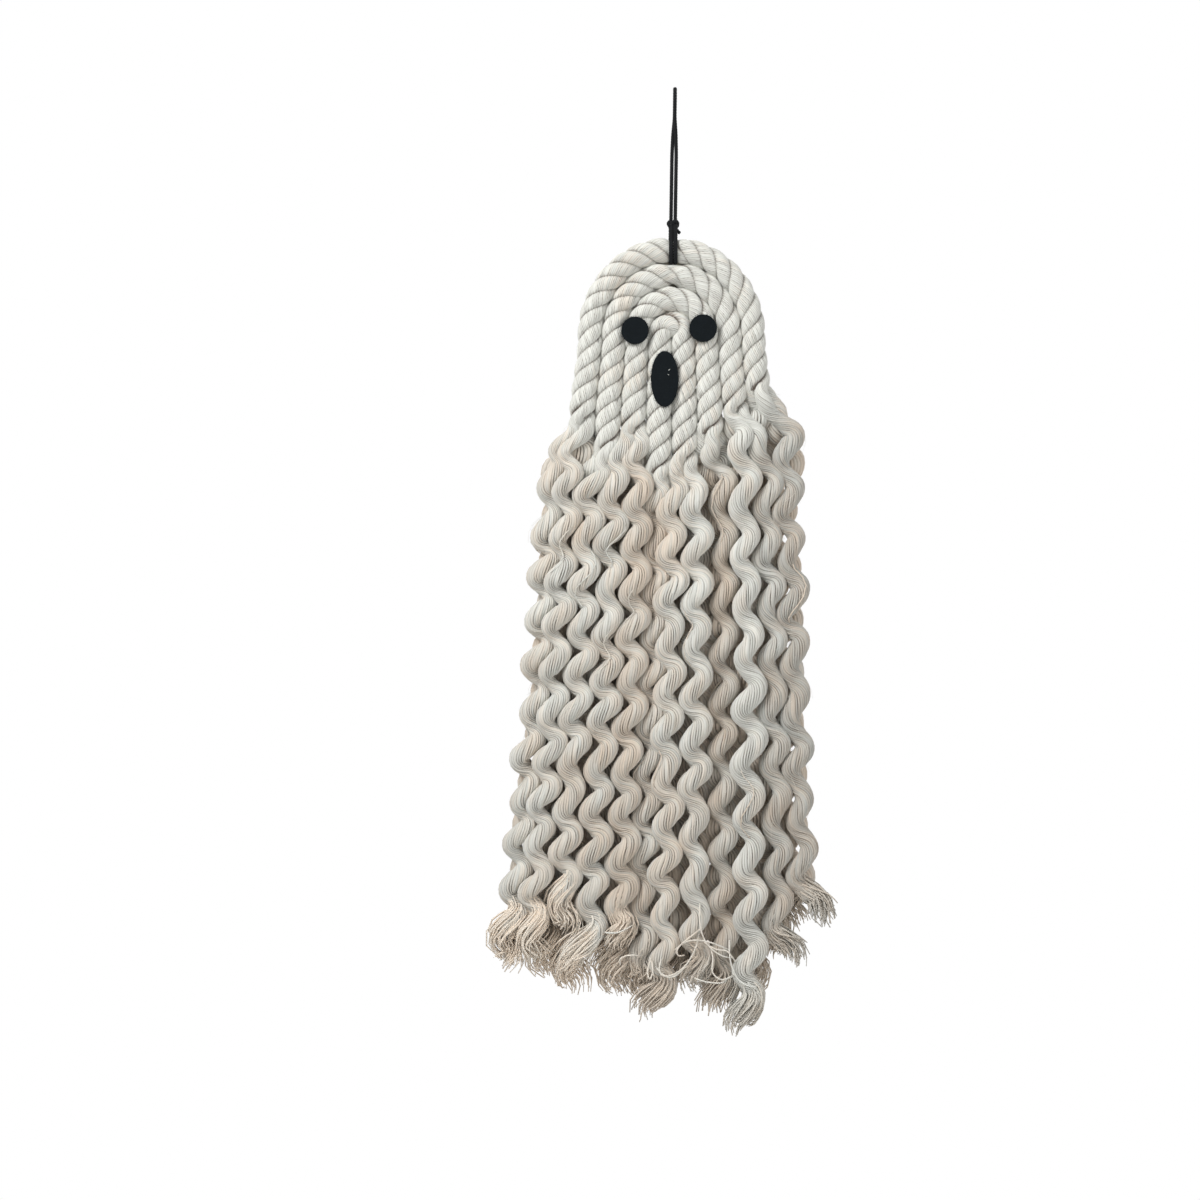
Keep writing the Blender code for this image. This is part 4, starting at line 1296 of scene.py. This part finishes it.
class GHOST_OT_backing(bpy.types.Operator):
    """Make the felt panel that backs the nested arches"""

    bl_idname = "ghost.backing"
    bl_label = "Felt backing"

    def execute(self, context):
        felt = look("felt")
        half_width = (ROPE_COUNT - 0.5) * SIDE_PITCH - PANEL_RIM
        rise = (ROPE_COUNT - 0.5) * CROWN_PITCH - PANEL_RIM
        bpy.ops.object.select_all(action="DESELECT")
        bpy.ops.mesh.primitive_circle_add(vertices=ROUND_SIDES, radius=1.0, fill_type="NGON")
        piece = bpy.context.active_object
        piece.name = "felt_backing_panel"
        bpy.ops.object.mode_set(mode="EDIT")
        bpy.ops.mesh.select_all(action="SELECT")
        bpy.ops.mesh.bisect(plane_co=(0.0, 0.0, 0.0), plane_no=(0.0, 1.0, 0.0), clear_inner=True)
        bpy.ops.mesh.select_all(action="SELECT")
        bpy.ops.transform.resize(value=(half_width, rise, 1.0), center_override=(0.0, 0.0, 0.0))
        bpy.ops.object.mode_set(mode="OBJECT")
        mesh = piece.data
        for face in mesh.polygons:
            face.select = False
        for vertex in mesh.vertices:
            vertex.select = abs(vertex.co.y) < 1e-6
        for edge in mesh.edges:
            edge.select = all(mesh.vertices[corner].select for corner in edge.vertices)
        if not any(edge.select for edge in mesh.edges):
            raise RuntimeError("the backing has no straight edge to pull down")
        bpy.ops.object.mode_set(mode="EDIT")
        bpy.ops.mesh.select_mode(type="EDGE")
        bpy.ops.mesh.extrude_edges_move(
            TRANSFORM_OT_translate={"value": (0.0, -PANEL_DROP, 0.0), "orient_type": "GLOBAL"})
        bpy.ops.object.mode_set(mode="OBJECT")
        select_only(piece)
        apply_modifier(piece, "thickness", "SOLIDIFY", thickness=PANEL_THICKNESS, offset=0.0)
        piece.rotation_euler = (TURN / 4.0, 0.0, 0.0)
        piece.location = (HEAD_OFFSET_X, ROPE_RADIUS + SEAT_GAP + PANEL_THICKNESS / 2.0, ARCH_CENTRE_Z)
        material = felt_material("cream_pressed_felt", tuple(felt.cream_felt), 0.14)
        finish_felt(piece, PANEL_GRAIN, PANEL_RELIEF, material, "cream_felt", "felt_backing")
        return {"FINISHED"}


def plied_cord(name, route, cord, seed=0.0, fullness=1.0):
    """A cord of three twisted plies along a route of points."""
    run = run_lengths(route)
    places = np.linspace(0.0, run[-1], max(int(run[-1] / PLY_STEP), 8))
    line = read_rows(places, run, route)
    line[1:-1] = (line[:-2] + 2.0 * line[1:-1] + line[2:]) / 4.0
    _, normals, binormals = transport_frames(line)
    reach = (CORD_RADIUS - cord.ply_radius) * fullness
    plies = []
    for ply in range(len(PLY_TONES)):
        angles = TURN * (places / cord.ply_turn + ply / len(PLY_TONES)) + seed
        plies.append(line + reach * spokes_at(normals, binormals, angles))
    lines = np.array(plies)
    radii = np.full(lines.shape[:2], cord.ply_radius * PLY_WIDENING * fullness)
    mesh = bundle_mesh(name, lines, radii, 8, np.array(PLY_TONES), np.zeros(len(PLY_TONES)))
    return add_piece(mesh, cord_material(), "black_cord", "hanging_cord"), line


def knot_route():
    """A simple overhand knot, pulled tight."""
    turn = np.linspace(0.0, TURN, 150)
    across = (np.sin(turn) + 2.0 * np.sin(2.0 * turn)) / 3.0
    height = (np.cos(turn) - 2.0 * np.cos(2.0 * turn)) / 3.0
    reach = [(size - CORD_DIAMETER) / 2.0 for size in KNOT_SIZE]
    return knot_centre() + columns(reach[0] * across, reach[1] * 0.8 * np.sin(3.0 * turn), reach[2] * height)


class GHOST_OT_hanging_cord(bpy.types.Operator):
    """Make the black cord: hanging loop, knot, short end and wrap round the rope"""

    bl_idname = "ghost.hanging_cord"
    bl_label = "Hanging cord"

    def execute(self, context):
        cord = look("cord")
        loop, line = plied_cord("hanging_cord_loop", loop_route(), cord)
        others = [plied_cord("hanging_cord_wrap_left", wrap_route(-1.0), cord, 1.0, 1.16)[0],
                  plied_cord("hanging_cord_wrap_right", wrap_route(1.0), cord, 2.0, 1.16)[0],
                  plied_cord("hanging_cord_knot", knot_route(), cord, 0.5, 1.3)[0]]
        reach = np.linspace(0.0, 1.0, 12)[:, None] * np.array(CORD_END_REACH)
        others.append(plied_cord("hanging_cord_end", knot_centre() + reach, cord, 1.5)[0])
        return {"FINISHED"}


def pale_plane(name, share, **placing):
    """Floor or backdrop that shows white to the camera and keeps a little of the shadow."""
    material, tree, shader = new_material(
        name + "_paper", {"Base Color": (0.86, 0.86, 0.85), "Roughness": 0.9})
    glow = add_node(tree, "Emission", {"Color": (1.0, 1.0, 1.0), "Strength": 1.0})
    rays = add_node(tree, "LightPath", {})
    seen = calculate(tree, "MULTIPLY", rays.outputs["Is Camera Ray"], share)
    mix = add_node(tree, "MixShader", {0: seen, 1: shader.outputs[0], 2: glow.outputs[0]})
    feed(tree, tree.nodes["Material Output"].inputs["Surface"], mix.outputs[0])
    bpy.ops.mesh.primitive_plane_add(size=STAGE_WIDTH, **placing)
    plane = bpy.context.active_object
    plane.name = name
    plane.data.materials.append(material)
    return plane


def aim(item, target):
    """Turn a lamp or camera towards a point."""
    item.rotation_euler = (Vector(target) - item.location).to_track_quat("-Z", "Y").to_euler()


class GHOST_OT_stage(bpy.types.Operator):
    """Set the camera, the lamps, the floor and the backdrop"""

    bl_idname = "ghost.stage"
    bl_label = "Stage"

    def execute(self, context):
        stage = look("stage")
        scene = bpy.context.scene
        centre = (PHOTO_CENTRE_X, 0.0, PHOTO_CENTRE_Z)
        bpy.ops.object.select_all(action="DESELECT")
        bpy.ops.object.camera_add(location=(centre[0], -stage.camera_distance, centre[2]),
                                  rotation=(TURN / 4.0, 0.0, 0.0))
        camera = bpy.context.active_object
        camera.name = "photo_camera"
        camera.data.sensor_width = SENSOR_WIDTH
        camera.data.lens = SENSOR_WIDTH * stage.camera_distance / (PHOTO_SIDE * PIXEL)
        camera.data.clip_start = 0.01
        camera.data.clip_end = 50.0
        scene.camera = camera
        for name, (place, size) in LAMPS.items():
            bpy.ops.object.light_add(type="AREA", location=place)
            lamp = bpy.context.active_object
            lamp.name = name + "_lamp"
            lamp.data.shape = "SQUARE"
            lamp.data.size = size
            lamp.data.energy = getattr(stage, name + "_power")
            aim(lamp, centre)
        world = bpy.data.worlds.new("even_sky")
        world.use_nodes = True
        tree = world.node_tree
        sky = tree.nodes["Background"]
        rays = add_node(tree, "LightPath", {})
        level = calculate(tree, "MULTIPLY_ADD", rays.outputs["Is Camera Ray"], 1.0 - stage.sky_level,
                          stage.sky_level)
        feed(tree, sky.inputs["Color"], (1.0, 0.995, 0.985))
        feed(tree, sky.inputs["Strength"], level)
        scene.world = world
        floor = pale_plane("pale_floor", 0.82, location=(0.0, 0.0, CAD_BOX[0].z - stage.floor_drop))
        backdrop = pale_plane("pale_backdrop", 1.0, location=(0.0, BACKDROP_Y, 0.0),
                              rotation=(TURN / 4.0, 0.0, 0.0))
        scene.view_settings.view_transform = "Standard"
        return {"FINISHED"}


OPERATORS = (GHOST_OT_stage, GHOST_OT_hanging_cord, GHOST_OT_ropes, GHOST_OT_face, GHOST_OT_backing)


class GHOST_PT_panel(bpy.types.Panel):
    """Lists the steps and settings of the rope ghost"""

    bl_idname = "GHOST_PT_panel"
    bl_label = "Rope Ghost"
    bl_space_type = "VIEW_3D"
    bl_region_type = "UI"
    bl_category = "Rope Ghost"

    def draw(self, context):
        for name, group in LOOKS.items():
            box = self.layout.box()
            box.label(text=name.capitalize())
            for key in group.__annotations__:
                box.prop(look(name), key)
        for operator in OPERATORS:
            self.layout.operator(operator.bl_idname)


CLASSES = (*LOOKS.values(), *OPERATORS, GHOST_PT_panel)


def register():
    """Add the classes and the scene's settings."""
    for item in CLASSES:
        bpy.utils.register_class(item)
    for name, group in LOOKS.items():
        setattr(bpy.types.Scene, "ghost_" + name, bpy.props.PointerProperty(type=group))


def unregister():
    """Remove the scene's settings and the classes."""
    for name in LOOKS:
        delattr(bpy.types.Scene, "ghost_" + name)
    for item in reversed(CLASSES):
        bpy.utils.unregister_class(item)


def main():
    """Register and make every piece."""
    register()
    bpy.ops.ghost.stage()
    bpy.ops.ghost.hanging_cord()
    bpy.ops.ghost.ropes()
    bpy.ops.ghost.face()
    bpy.ops.ghost.backing()


if __name__ == "__main__":
    main()
